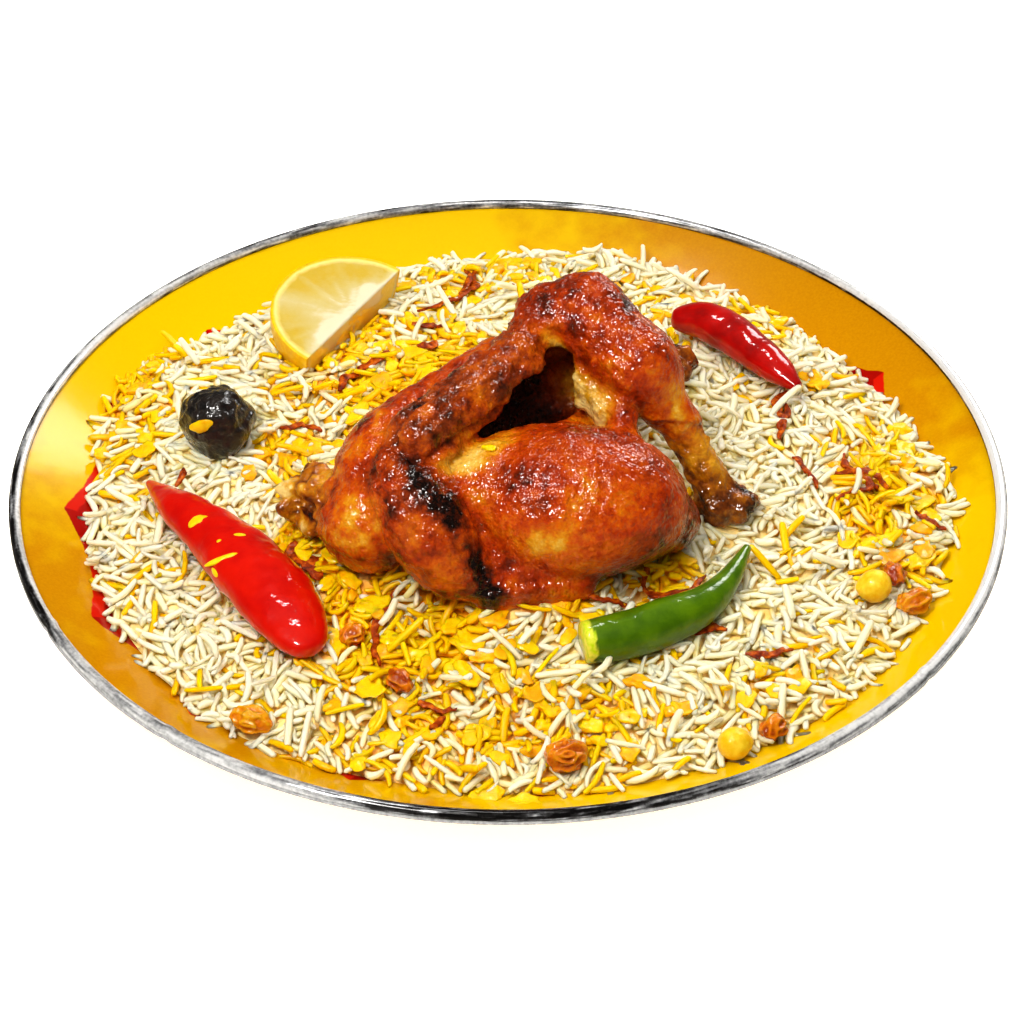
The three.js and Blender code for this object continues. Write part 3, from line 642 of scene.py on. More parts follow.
# Edge of the skin that has drawn back from the shank
DRAWN_SKIN = [
    (45, -35, 84), (51, -29, 78), (56, -29, 77), (61, -30, 77), (66, -29, 76), (72, -27, 74), (77, -22, 70)
]
# Places that are darker or paler than what is round them: place, reach and change
CHAR = [
    ((5, -76, 84), 8, 0.17), ((12, -80, 82), 8, 0.15), ((-1, -70, 85), 5, 0.1),
    ((-26, -60, 94), 7, 0.18), ((-35, -64, 92), 5, 0.12),
    ((7, -17, 108), 6, 0.03),
    ((53, -85, 53), 8, 0.16), ((44, -87, 50), 8, 0.16), ((39, -89, 42), 7, 0.14), ((59, -84, 59), 6, 0.1),
    ((-5, -98, 44), 5, 0.25), ((56, -15, 107), 5, 0.06), ((51, -8, 109), 6, 0.05), ((58, -23, 103), 4, 0.06),
    ((-47, -34, 88), 6, 0.2), ((-56, -42, 84), 5, 0.25), ((-56, -60, 78), 5, 0.14),
    ((88, -38, 46), 8, 0.1), ((78, -40, 50), 5, 0.2),
]
# Burnt band down the drumette's flank, and its half width
BURNT_BAND = [
    (-31, -79, 85), (-25, -82, 80), (-20, -87, 73), (-16, -92, 65),
    (-11, -90, 59), (-8, -95, 49), (-7, -98, 43)
]
BURNT_WIDTH = 5.2
PALE = [
    ((-25, -69, 85), 5, 0.34), ((-20, -65, 83), 6, 0.5), ((-12, -60, 84), 7, 0.52), ((-3, -53, 86), 6, 0.36),
    ((14, -91, 66), 6, 0.26), ((9, -92, 64), 5, 0.2), ((19, -91, 66), 5, 0.2),
    ((27, -75, 88), 6, 0.16), ((27, -84, 82), 7, 0.2), ((23, -91, 72), 6, 0.18),
    ((-60, -52, 80), 7, 0.12), ((-59, -70, 70), 8, 0.2), ((-56, -77, 66), 7, 0.22), ((-61, -78, 60), 8, 0.24),
    ((-52, -81, 59), 6, 0.18), ((14, -9, 103), 6, 0.45), ((19, -7, 98), 7, 0.5), ((22, -2, 90), 8, 0.45),
    ((58, -29, 91), 8, 0.12), ((66, -27, 82), 8, 0.16), ((-46, -76, 82), 5, 0.1),
]
# How far each lobe's skin is roasted, from pale meat at 0 to char at 1. The back wall and the cavity wall are
# near char as painted shade in the cavity.
ROAST = {
    "back": 0.56, "breast": 0.5, "breast_left": 0.5, "breast_tip": 0.6, "shoulder": 0.56, "hump": 0.54,
    "web": 0.54, "stub": 0.55, "drumette": 0.56, "flap": 0.5, "fold": 0.6, "wing": 0.67, "wing_tip": 0.62,
    "elbow": 0.68, "knee": 0.7, "thigh": 0.63, "thigh_low": 0.38, "shank": 0.5, "knuckle": 0.72,
    "back_wall": 0.9, "cavity_wall": 0.8, "inner_meat": 0.0, "tendon": 0.46, "second_thigh": 0.58,
    "second_shank": 0.55, "second_knuckle": 0.75,
}
# How dry and tan it is there instead of red and oily
DRY = {
    "wing": 0.3, "elbow": 0.2, "drumette": 0.15, "stub": 0.75, "shank": 0.9, "knuckle": 0.8,
    "inner_meat": 0.9, "second_shank": 0.7, "second_knuckle": 0.6,
}


class Shares:
    """How much each point belongs to each lobe"""

    def __init__(self, points):
        away = np.array([lobe_distance(points, lobe) for lobe in CHICKEN_LOBES.values()])
        share = np.exp(-(away - away.min(axis=0)) / LOBE_BLEND)
        self.of_lobe = dict(zip(CHICKEN_LOBES, share / share.sum(axis=0)))

    def __call__(self, *names):
        return sum(self.of_lobe[name] for name in names)

    def weighted(self, amounts):
        return sum(amount * self.of_lobe[name] for name, amount in amounts.items())


def chicken_relief(points, of):
    """Height in millimetres that wrinkles, folds and crumbs add to the smooth skin"""
    drumette = turned_into(points - CHICKEN_LOBES["drumette"][1], -47, -44)
    wing = turned_into(points, 44, 13)
    leg = turned_into(points, -35, -20)
    height = 0.28 * lumps(points, 7, 1) + 0.16 * lumps(points, 3.2, 2)
    knobbly = 0.9 * lumps(wing, (6, 3.6, 3.6), 3) + 0.5 * lumps(wing, 2.6, 4) - 0.6
    knobbly += 0.5 * ridges(wing, (2.2, 5, 5), 24)
    height += of("wing", "wing_tip", "elbow") * knobbly
    creases = 0.7 * ridges(drumette, (9, 3.2, 3.2), 5) + 0.3 * lumps(drumette, 2.4, 6) - 0.4
    height += of("drumette") * creases
    wrinkled = 0.95 * ridges(leg, (8, 4.2, 4.2), 7) + 0.4 * lumps(leg, 2.6, 8) - 0.6
    height += of("knee", "elbow", "thigh") * wrinkled * smoothstep(66, 30, points[:, 0])
    height += of("thigh", "thigh_low") * 0.3 * lumps(leg, (14, 5, 5), 9)
    pebbles = 0.28 * lumps(points, 2.7, 10) + 0.3 * ridges(points, 6, 11) - 0.2
    height += of("shoulder", "hump", "web") * pebbles
    crumbs = 2.2 * lumps(points, 5.5, 12) + 1.1 * lumps(points, 2.6, 13) - 1.3
    height += of("stub") * crumbs
    fibres = 1.3 * ridges(leg, (14, 3.2, 3.2), 14) + 0.6 * lumps(points, 3.4, 15) + 0.2
    height += of("inner_meat", "back_wall", "cavity_wall") * fibres
    stringy = 0.7 * ridges(leg, (18, 3, 3), 16) + 0.5 * lumps(points, 3, 17) - 0.4
    height += of("shank", "knuckle", "tendon", "second_shank", "second_knuckle") * stringy
    height += of("knuckle", "second_knuckle") * (1.3 * lumps(points, 4.6, 18) - 0.3)
    breast = of("breast", "breast_left", "breast_tip")
    height += breast * (0.35 * lumps(points, (10, 5, 14), 19) + 0.12 * lumps(points, 2, 20))
    height += of("flap", "fold") * (0.6 * ridges(points, (12, 4, 4), 21) - 0.3)
    for path, width, rise in SKIN_FOLDS:
        away = path_distance(points, path)
        height += rise * (bell(away, width) - 0.45 * bell(away, 2.3 * width))
    for path, width, depth in SKIN_CREASES:
        height -= depth * along_path(points, path, width)
    torn = along_path(points, TORN_EDGE, 4.5)
    height += torn * (1.5 * ridges(points, (5, 4, 4), 22) + 0.8 * lumps(points, 2.8, 23) - 0.5)
    edge_x, _, edge_height = np.array(DRAWN_SKIN).T
    above = smoothstep(-0.6, 0.6, points[:, 2] - np.interp(points[:, 0], edge_x, edge_height))
    height += above * 1.2 * along_path(points, DRAWN_SKIN, 5)
    return height


def chicken_roast_and_shade(points, of):
    """How far the skin is roasted, with painted shade in the cavity and the creases, and how dry it is, from
    0 to 1
    """
    roast_and_shade = of.weighted(ROAST)
    dry = of.weighted(DRY)
    breast = of("breast", "breast_tip")
    roast_and_shade += breast * (0.1 * smoothstep(80, 92, points[:, 2]) + 0.12 * smoothstep(62, 44, points[:, 2]))
    roast_and_shade += breast * 0.12 * smoothstep(38, 62, points[:, 0])
    roast_and_shade += of("drumette") * 0.16 * smoothstep(66, 84, points[:, 2])
    mottled = np.clip(0.8 + 0.45 * lumps(points, 3.4, 35) + 0.3 * lumps(points, 1.8, 36), 0, 1.6)
    for strength, spots in ((mottled, CHAR), (-1, PALE)):
        for place, reach, change in spots:
            roast_and_shade += strength * change * bell(np.linalg.norm(points - place, axis=1), reach)
    grainy = np.clip(0.95 + 0.5 * lumps(points, 2.6, 39) + 0.2 * lumps(points, 5, 40), 0.6, 1.4)
    roast_and_shade += 0.4 * grainy * along_path(points, BURNT_BAND, BURNT_WIDTH)
    # Painted shade: the skin is painted darker in the creases
    for path, width, depth in SKIN_CREASES:
        roast_and_shade += 0.1 * depth * along_path(points, path, width)
    roast_and_shade += 0.22 * mottled * along_path(points, TORN_EDGE, 5)
    roast_and_shade += 0.25 * along_path(points, DRAWN_SKIN, 0.9)
    patches = 0.1 * lumps(points, 11, 31) + 0.11 * lumps(points, 5, 32) + 0.08 * lumps(points, 2.4, 33)
    patches *= (1 - 0.4 * breast) * (1 + 1.5 * of("stub")) * (1 - 0.4 * of("knee", "elbow"))
    # Painted shade: the cavity's walls are painted near black
    cavity_shade = smoothstep(3.5, 0.5, np.abs(lobe_distance(points, CAVITY))) * smoothstep(100, 90, points[:, 2])
    meat = bell(np.linalg.norm(points - BARE_MEAT, axis=1), 9)
    cavity_shade *= (1 - of("inner_meat")) * (1 - meat)
    roast_and_shade = np.maximum(roast_and_shade + patches - 0.75 * meat, 0.95 * cavity_shade)
    return np.clip(roast_and_shade, 0, 1), np.clip(dry + 0.8 * meat + 0.1 * lumps(points, 6, 34), 0, 1)


# Colours from pale meat to char, of oily skin and of dry skin
SKIN_COLOURS = (
    (0.0, (222, 178, 74)), (0.16, (210, 144, 18)), (0.32, (198, 104, 2)), (0.46, (188, 76, 0)),
    (0.6, (164, 52, 0)), (0.74, (128, 36, 1)), (0.87, (80, 24, 4)), (1.0, (22, 9, 6)),
)
DRY_COLOURS = (
    (0.0, (232, 204, 130)), (0.25, (206, 152, 34)), (0.5, (176, 112, 8)), (0.72, (116, 66, 14)),
    (0.9, (54, 28, 10)), (1.0, (18, 9, 6)),
)


def chicken_paint():
    paint = Paint("roast_chicken", Coat_Weight=1.0, Coat_Roughness=0.06, Specular_IOR_Level=0.1)
    roast_and_shade = paint.varied(paint.attribute("roast_and_shade"), paint.noise(3, detail=3, roughness=0.6), 0.42)
    roast_and_shade = paint.varied(roast_and_shade, paint.noise(1.2, detail=1, roughness=0.5), 0.22)
    dry = paint.attribute("dry")
    paint.colour(paint.mix(dry, paint.ramp(roast_and_shade, *SKIN_COLOURS), paint.ramp(roast_and_shade, *DRY_COLOURS)))
    paint.gloss(paint.math("MULTIPLY_ADD", dry, 0.16, paint.patches(3.5, 4, 0.3, 0.5)))
    paint.bump(paint.noise(4, detail=1, roughness=0.5, stretch=(1.5, 1.5, 0.7)), 0.9)
    paint.bump(paint.noise(1.8, detail=1, roughness=0.5), 0.75)
    paint.bump(paint.cells(1.6), 0.2)
    return paint


def make_chicken():
    step = 1.0
    values = distance_grid(chicken_distance, CHICKEN_LOW, CHICKEN_HIGH, step)
    points, quads = surface_net(values, CHICKEN_LOW, step)
    points, outward = settle(points, chicken_distance, 2)
    shares = Shares(points)
    height = chicken_relief(points, shares)
    height *= smoothstep(CHICKEN_BOTTOM, CHICKEN_BOTTOM + 3, points[:, 2])
    roast_and_shade, dry = chicken_roast_and_shade(points, shares)
    points = points + outward * height[:, None]
    # The knee's wrinkles stay below the top of the CAD box
    over = points[:, 2].max() - (cad_box[1][2] / METRES - 0.1)
    if over > 0:
        points[:, 2] -= over * smoothstep(100, points[:, 2].max(), points[:, 2])
    SURFACES["roast_chicken"] = BVHTree.FromPolygons(points.tolist(), quads.tolist())
    values = {"roast_and_shade": roast_and_shade, "dry": dry}
    make_piece("roast_chicken", points, quads, chicken_paint(), "chicken", ["chicken"], values)


# Heap of rice

HEAP_TOP = 36.5
HEAP_RADIUS = 175.5
# Cells of the height map, and how far it reaches from the middle
CELL = 0.8
HALF_FIELD = 204
# Stretches of the heap's edge that lie further out, or in: direction, half width and by how much
HEAP_BULGES = ((160, 16, 8), (25, 24, -8), (-112, 18, 3))


def heap_radius(angle):
    spread = 5.5 * np.cos(angle) - 2.5 * np.sin(angle)
    radius = HEAP_RADIUS + spread + 1.6 * np.sin(5 * angle + 1) + 1.2 * np.sin(9 * angle + 2.2)
    for towards, reach, by in HEAP_BULGES:
        radius = radius + by * bell(turned_away(np.degrees(angle), towards), reach)
    return radius


def level_points(x, y):
    return np.column_stack([x, y, np.zeros(len(x))])


def surface_points(x, y):
    return np.column_stack([x, y, rice_height(x, y)])


def outward_share(x, y):
    """0 in the middle of the heap and 1 at its edge"""
    return np.hypot(x, y) / heap_radius(np.arctan2(y, x))


def scatter(count, most=1.0):
    """Random places on the heap, out to a share of its area: x, y and how far out they are"""
    angle = random.uniform(-math.pi, math.pi, count)
    out = np.sqrt(random.uniform(0, most, count))
    return heap_radius(angle) * out * np.cos(angle), heap_radius(angle) * out * np.sin(angle), out


def rice_height(x, y):
    """Mean height of the rice's surface"""
    edge = heap_radius(np.arctan2(y, x))
    edge_height = plate_height(edge) + 1.2
    out = np.clip(np.hypot(x, y) / edge, 0, 1)
    return edge_height + (HEAP_TOP - edge_height) * (1 - out**2.6)


# Where saffron yellow rice lies: middle, reach along x and y, share of yellow grains
SAFFRON = [
    (-157, 52, 14, 34, 0.7), (-84, 1, 20, 26, 0.5), (-45, 60, 48, 52, 0.62), (-6, 140, 34, 24, 0.5),
    (112, 120, 16, 26, 0.4), (154, -16, 22, 58, 0.6), (-38, -98, 44, 32, 0.78), (20, -92, 18, 14, 0.75),
    (59, -72, 12, 10, 0.8), (-10, -148, 64, 32, 0.5), (92, -127, 34, 30, 0.24), (-20, 20, 40, 40, 0.8),
    (60, 110, 22, 40, 0.25), (-75, -60, 22, 26, 0.6),
]


def saffron_share(x, y):
    share = np.full(np.shape(x), 0.07)
    for middle_x, middle_y, reach_x, reach_y, most in SAFFRON:
        away = ((x - middle_x) / reach_x) ** 2 + ((y - middle_y) / reach_y) ** 2
        share = np.maximum(share, most * np.exp(-(away**1.6)))
    return share


def catmull_rom(path, count):
    """Points and tangents along a centripetal curve through the path's points"""
    path = np.array(path, float)
    path = np.vstack([2 * path[0] - path[1], path, 2 * path[-1] - path[-2]])
    places = []
    for share in np.linspace(0, 1, count):
        along = share * (len(path) - 3)
        i = min(int(along), len(path) - 4)
        t = along - i
        a, b, c, d = path[i:i + 4]
        first, middle, last = [np.linalg.norm(q - p) ** 0.5 for p, q in ((a, b), (b, c), (c, d))]
        start = ((b - a) / first - (c - a) / (first + middle) + (c - b) / middle) * middle
        end = ((c - b) / middle - (d - b) / (middle + last) + (d - c) / last) * middle
        bent = (3 * (c - b) - 2 * start - end) * t**2
        places.append(b + start * t + bent + (2 * (b - c) + start + end) * t**3)
    places = np.array(places)
    return places, unit(np.gradient(places, axis=0))


def spindle(along, full_at, start, end):
    """Share of the full width: a rounded rise, a full middle and a taper"""
    rise = start + (1 - start) * np.sin(np.pi / 2 * np.clip(along / full_at, 0, 1))
    fall = np.cos(np.pi / 2 * np.clip((along - full_at) / (1 - full_at), 0, 1))
    return np.where(along < full_at, rise, end + (1 - end) * np.sqrt(np.clip(fall, 0, None)))


def frame_along(tangents):
    side = unit(np.cross(tangents, (0, 0, 1)))
    return side, np.cross(side, tangents)


# Middle line, width and thickness of each chilli. Where it is full, and the share of that at its
# two ends, follow the width and the thickness.
CHILLIES = {
    "red_chilli_front": {
        "path": [(-144, -9, 30), (-129, -32, 35.5), (-107, -59, 37), (-88, -88, 38), (-73, -118, 36)],
        "width": (32, 0.72, 0.1, 0.2), "thickness": (20, 0.6, 0.16, 0.25),
    },
    "red_chilli_back": {
        "path": [(120, 47, 37), (113, 57, 38), (95, 81, 39), (83, 92, 39), (70, 95, 38)],
        "width": (20, 0.6, 0.25, 0.3), "thickness": (17, 0.6, 0.25, 0.3),
    },
    "green_chilli": {
        "path": [
            (92, -63, 41), (83, -83, 40.5), (73, -96, 40), (59, -105, 39.5), (43, -112, 39), (28, -116, 39)
        ],
        "width": (19, 0.7, 0.18, 0.8), "thickness": (19, 0.7, 0.18, 0.8),
    },
}
LIME_AT = (-118, 17)
LIME_RADIUS = 15.5
LIME_SUNK = 4.5
# Middle on the rice, radius and the beak's direction
CHICKPEAS = {"chickpea_1": ((141, -73), 6.6, 200), "chickpea_2": ((82, -158), 6.2, 20)}
CHICKPEA_SUNK = 2
# Middle on the rice, half sizes, direction and tone from golden to dark
RAISINS = {
    "raisin_1": ((156, -77), (7.5, 6, 5), 30, 0.35), "raisin_2": ((150, -62), (6, 4.5, 4), 100, 0.75),
    "raisin_3": ((97, -149), (5.5, 5.5, 5), 60, 0.6), "raisin_4": ((21, -166), (8, 7, 6), 20, 0.5),
    "raisin_5": ((-94, -144), (8.5, 6, 5), -20, 0.2), "raisin_6": ((-58, -106), (5.5, 5, 4.5), 40, 0.5),
    "raisin_7": ((-40, -128), (6.5, 5, 4), -60, 0.6),
}
RAISIN_SUNK = 1.5
# Ends of the edge where the wedge's two cuts meet, the fruit's radius and the cuts' directions
LEMON_START = np.array((-84, 58, 43), float)
LEMON_END = np.array((-47, 122, 45), float)
LEMON_MIDDLE = (LEMON_START + LEMON_END) / 2
LEMON_HALF = np.linalg.norm(LEMON_END - LEMON_START) / 2
LEMON_RADIUS = 35
LEMON_CUTS = (168, 262)


def on_rice(at, height, sunk):
    return np.array([*at, float(rice_height(*at)) + height - sunk])


def lemon_axes():
    axis = unit(LEMON_END - LEMON_START)
    side = unit(np.cross(axis, (0, 0, 1)))
    return axis, side, np.cross(side, axis)


def lemon_distance(points):
    """About how far points are from the lemon wedge"""
    axis, side, rise = lemon_axes()
    away = points - LEMON_MIDDLE
    along, across, up = away @ axis, away @ side, away @ rise
    radius = np.hypot(across, up)
    angle = np.degrees(np.arctan2(up, across)) % 360
    beyond = np.hypot(radius, along * LEMON_RADIUS / LEMON_HALF) - LEMON_RADIUS
    first, last = LEMON_CUTS
    outside = np.maximum(first - angle, angle - last)
    past_cut = radius * np.sin(np.radians(np.clip(outside, -90, 90)))
    return np.maximum(beyond, past_cut)


def chilli_form(chilli, steps):
    """Points and tangents along a chilli, with its half widths and half heights there"""
    along = np.linspace(0, 1, steps)
    halves = [size / 2 * spindle(along, *shape) for size, *shape in (chilli["width"], chilli["thickness"])]
    return *catmull_rom(chilli["path"], steps), *halves


def topping_distance(points):
    """About how far points are from the nearest topping but the chicken"""
    nearest = np.full(len(points), 1e9)
    for chilli in CHILLIES.values():
        places, _, widths, heights = chilli_form(chilli, 24)
        for place, width, height in zip(places, widths, heights):
            away = points - place
            level = np.hypot(away[:, 0], away[:, 1])
            nearest = np.minimum(nearest, np.hypot(level, away[:, 2] * width / height) - width)
    balls = [(on_rice(LIME_AT, LIME_RADIUS, LIME_SUNK), LIME_RADIUS)]
    balls += [(on_rice(at, radius, CHICKPEA_SUNK), radius) for at, radius, _ in CHICKPEAS.values()]
    balls += [(on_rice(at, semi[2], RAISIN_SUNK), semi[0]) for at, semi, *_ in RAISINS.values()]
    for place, radius in balls:
        nearest = np.minimum(nearest, np.linalg.norm(points - place, axis=1) - radius)
    return np.minimum(nearest, lemon_distance(points))


class HeightMap:
    """Top of all that has come to rest so far"""

    def __init__(self):
        count = int(2 * HALF_FIELD / CELL)
        line = (np.arange(count) + 0.5) * CELL - HALF_FIELD
        x, y = np.meshgrid(line, line, indexing="ij")
        self.count = count
        self.body = core_top(x.ravel(), y.ravel()).reshape(x.shape)
        surface = surface_points(x.ravel(), y.ravel())
        taken = (chicken_distance(surface) < TUCKED) | (topping_distance(surface) < TUCKED)
        self.taken = taken.reshape(x.shape)
        self.top = np.where(self.taken, UNREACHED, self.body)

    def cells(self, x, y):
        i = np.clip(((x + HALF_FIELD) / CELL).astype(int), 0, self.count - 1)
        j = np.clip(((y + HALF_FIELD) / CELL).astype(int), 0, self.count - 1)
        return i, j

    def at(self, x, y):
        return self.top[self.cells(x, y)]

    def open_up(self):
        """Lets things lie where the toppings stand again"""
        self.top[self.taken] = self.body[self.taken] + CORE_DEPTH

    def even_out(self, reach):
        """Notes the mean height within that many cells each way"""
        even = self.top
        for axis in (0, 1):
            margins = [(0, 0), (0, 0)]
            margins[axis] = (reach, reach)
            wider = np.pad(even, margins, mode="edge")
            shifted = [np.take(wider, np.arange(self.count) + k, axis) for k in range(2 * reach + 1)]
            even = np.mean(shifted, axis=0)
        self.even = even

    def raise_to(self, x, y, height):
        np.maximum.at(self.top, self.cells(x, y), height)


# How far the heap's body lies below the grains' mean surface
CORE_DEPTH = 2.4
# How far grains reach in under a topping
TUCKED = -1.2
# Height of the map where no grain may lie
UNREACHED = 300
# Mean and spread, least and most
GRAIN_LENGTH = (12.8, 3.5), (6, 20)
GRAIN_RADIUS = (1.32, 0.2), (0.9, 1.7)
GRAIN_BEND = (0, 1.7), (-3.6, 3.6)
GRAIN_TRIES = 52000
# Depths of the hollows that are filled, first the deep ones
HOLLOWS = (2.2, 1.4)
HOLLOW_SPACING = 1.6
# Grains of which one end sticks out
RISERS = 420
# A grain that lies deeper than this, or further inside a topping than that, isn't made
BURIED = 3.0
SWALLOWED = -2.5
# How much higher the rice lies against the chicken and the lemon
CHICKEN_MOUND = 3.2
LEMON_MOUND = 2.5
GRAIN_TILT = 0.6
SUPPORT_STEPS = np.arange(-6, 7) / 6
SUPPORT_LEFT = slice(0, 6)
SUPPORT_RIGHT = slice(7, 13)


def footprint(x, y, heading, along, across):
    """Grid of places under a grain, along it and across it"""
    dx, dy = math.cos(heading), math.sin(heading)
    return x + along[:, None] * dx - across * dy, y + along[:, None] * dy + across * dx


def rest_grain(field, x, y, heading, length, radius):
    """Height of the middle and slope of a grain that comes to lie on the field there"""
    along = SUPPORT_STEPS * length / 2
    across = np.array([-0.5, 0, 0.5]) * radius
    under = field.at(*footprint(x, y, heading, along, across)).mean(axis=1)
    left, right = along[SUPPORT_LEFT][:, None], along[SUPPORT_RIGHT]
    left_height, right_height = under[SUPPORT_LEFT][:, None], under[SUPPORT_RIGHT]
    level = (left_height * right - right_height * left) / (right - left)
    best = np.unravel_index(np.argmax(level), level.shape)
    slope = (right_height[best[1]] - left_height[best[0], 0]) / (right[best[1]] - left[best[0], 0])
    slope = float(np.clip(slope, -GRAIN_TILT, GRAIN_TILT))
    return float(max(level[best], under[6])) + radius, slope


def along_grains(grains, share):
    """Points at a share of the length, from -0.5 to 0.5, of every grain"""
    reach = grains[:, 5] * share
    flat = grains[:, :2] + np.column_stack([np.cos(grains[:, 4]), np.sin(grains[:, 4])]) * reach[:, None]
    return np.column_stack([flat, grains[:, 2] + grains[:, 3] * reach])


def stamp_grain(field, x, y, z, slope, heading, length, radius):
    """Raises the field by a grain that lies there"""
    along = np.linspace(-0.5, 0.5, 24) * length
    across = np.linspace(-1, 1, 5) * radius
    crown = np.sqrt(np.clip(1 - (across / radius) ** 2, 0, 1)) * radius
    height = z + slope * along[:, None] + 0.85 * crown
    field.raise_to(*footprint(x, y, heading, along, across), height)


def core_top(x, y):
    """Height of the heap's body, which shows between the loose grains"""
    out = outward_share(x, y)
    spots = level_points(x, y)
    rough = 0.8 * lumps(spots, 5, 51) + 0.5 * lumps(spots, 2.6, 52)
    top = np.where(out < 0.98, grain_limit(x, y, np.minimum(out, 1)) - CORE_DEPTH + rough, 0)
    return np.maximum(top, plate_height(np.hypot(x, y)) + 0.3 * (out < 0.98))


def grain_limit(x, y, out):
    """How high a grain may lie: the heap's surface with mounds, higher against the chicken and lemon"""
    spots, surface = level_points(x, y), surface_points(x, y)
    mound = (1.7 * lumps(spots, 24, 44) + 1.3 * lumps(spots, 10, 45)) * smoothstep(1, 0.93, out)
    beside_chicken = CHICKEN_MOUND * smoothstep(11, 2, chicken_distance(surface))
    beside_lemon = LEMON_MOUND * smoothstep(12, 2, lemon_distance(surface))
    return surface[:, 2] + mound + beside_chicken + beside_lemon


def draw(count, spread, limits):
    return random.normal(*spread, count).clip(*limits)


def pour_rice(field):
    """Grains one by one, each on what lies there, until the heap is as high as it should be"""
    tries = GRAIN_TRIES
    x, y, out = scatter(tries)
    aligned = 1.6 * math.pi * lumps(level_points(x, y), 24, 43) + random.normal(0, 0.4, tries)
    heading = np.where(random.uniform(0, 1, tries) < 0.55, aligned, random.uniform(0, math.pi, tries))
    length, radius = draw(tries, *GRAIN_LENGTH), draw(tries, *GRAIN_RADIUS)
    sunk = random.uniform(0.2, 1.0, tries)
    limit = grain_limit(x, y, out) + random.uniform(-1.0, 1.2, tries)
    body = chicken_distance(surface_points(x, y))
    grains = []
    for i in np.flatnonzero(body > -2):
        height, slope = rest_grain(field, x[i], y[i], heading[i], length[i], radius[i])
        if height - sunk[i] <= limit[i]:
            grains.append((x[i], y[i], height - sunk[i], slope, heading[i], length[i], radius[i]))
            stamp_grain(field, *grains[-1])
    for hollow in HOLLOWS:
        fill_hollows(field, grains, hollow)
    raise_ends(field, grains)
    field.open_up()
    field.even_out(3)
    grains = np.array(grains)
    samples = [along_grains(grains, share) for share in (-0.5, -0.25, 0, 0.25, 0.5)]
    clear = np.min([chicken_distance(sample) for sample in samples], axis=0) >= SWALLOWED
    clear &= np.min([topping_distance(sample) for sample in samples], axis=0) >= SWALLOWED
    depth = np.min([field.at(sample[:, 0], sample[:, 1]) - sample[:, 2] for sample in samples], axis=0)
    return grains[clear & (depth <= BURIED)]


def fill_hollows(field, grains, hollow):
    """Grains that show in the hollows between the others and run on under them"""
    line = np.arange(-HALF_FIELD, HALF_FIELD, HOLLOW_SPACING)
    x, y = (grid.ravel() for grid in np.meshgrid(line, line, indexing="ij"))
    inside = outward_share(x, y) < 0.985
    x, y = x[inside], y[inside]
    deepest = grain_limit(x, y, outward_share(x, y)) - hollow
    body = chicken_distance(surface_points(x, y))
    length, radius = draw(len(x), *GRAIN_LENGTH), draw(len(x), *GRAIN_RADIUS)
    first = random.uniform(0, math.pi, len(x))
    slope = random.normal(0, 0.1, len(x))
    along = np.linspace(-0.4, 0.4, 5)
    for i in random.permutation(np.flatnonzero(body > -3)):
        under = field.at(x[i], y[i])
        if under > deepest[i]:
            continue
        headings = first[i] + np.arange(6) * math.pi / 6
        px = x[i] + np.outer(np.cos(headings), along * length[i])
        py = y[i] + np.outer(np.sin(headings), along * length[i])
        above = field.at(px, py).mean(axis=1)
        if above.min() > UNREACHED / 6:
            continue
        heading = headings[int(np.argmin(above))]
        grains.append((x[i], y[i], under + 0.8 * radius[i], slope[i], heading, length[i], radius[i]))
        stamp_grain(field, *grains[-1])


def raise_ends(field, grains):
    """Grains of which one end sticks out of the heap"""
    x, y, _ = scatter(RISERS, 0.97)
    body = chicken_distance(surface_points(x, y))
    length, radius = draw(RISERS, *GRAIN_LENGTH), draw(RISERS, *GRAIN_RADIUS)
    slope = random.uniform(0.3, 0.75, RISERS)
    for i in np.flatnonzero(body > 2):
        under = float(field.at(x[i], y[i]))
        if under == UNREACHED:
            continue
        z = under + 0.6 * radius[i] + 0.12 * slope[i] * length[i]
        heading = random.uniform(-math.pi, math.pi)
        grains.append((x[i], y[i], z, slope[i], heading, length[i], radius[i]))


# Sections of a grain from end to end: place along it and share of its radius
GRAIN_RINGS = (
    (-0.975, 0.5), (-0.9, 0.82), (-0.5, 0.98), (0.0, 1.0), (0.5, 0.98), (0.88, 0.84), (0.975, 0.52)
)
GRAIN_SIDES = 6


def grain_mesh(grains, bend, roll):
    """Points and faces of curved grains of (x, y, z, slope, heading, length, radius)"""
    count = len(grains)
    heading, slope = grains[:, 4], grains[:, 3]
    axis = unit(np.column_stack([np.cos(heading), np.sin(heading), slope]))
    side = np.column_stack([-np.sin(heading), np.cos(heading), np.zeros(count)])
    rise = np.cross(axis, side)
    bow = side * np.cos(roll)[:, None] + rise * np.sin(roll)[:, None] * 0.5
    length, radius = grains[:, 5:6], grains[:, 6:7]
    centre = grains[:, :3]
    rings = []
    for place, share in GRAIN_RINGS:
        middle = centre + axis * place * length / 2 + bow * bend[:, None] * (place**2 - 0.3)
        for angle in full_turn(GRAIN_SIDES):
            rings.append(middle + (side * math.cos(angle) + rise * 0.86 * math.sin(angle)) * radius * share)
    for place in (-1, 1):
        rings.append(centre + axis * place * length / 2 + bow * bend[:, None] * 0.7)
    points = np.stack(rings, axis=1)
    one = tube_faces(len(GRAIN_RINGS), GRAIN_SIDES)
    return joined((grain, one) for grain in points)


WHITE_GRAIN = np.array(linear(254, 244, 212))
CREAM_GRAIN = np.array(linear(254, 230, 150))
YELLOW_GRAIN = np.array(linear(255, 202, 0))
DEEP_GRAIN = np.array(linear(255, 174, 0))
# Painted warm shade down between white grains and between yellow grains
GAP_SHADE = np.array(linear(254, 224, 136))
YELLOW_GAP_SHADE = np.array(linear(255, 172, 0))


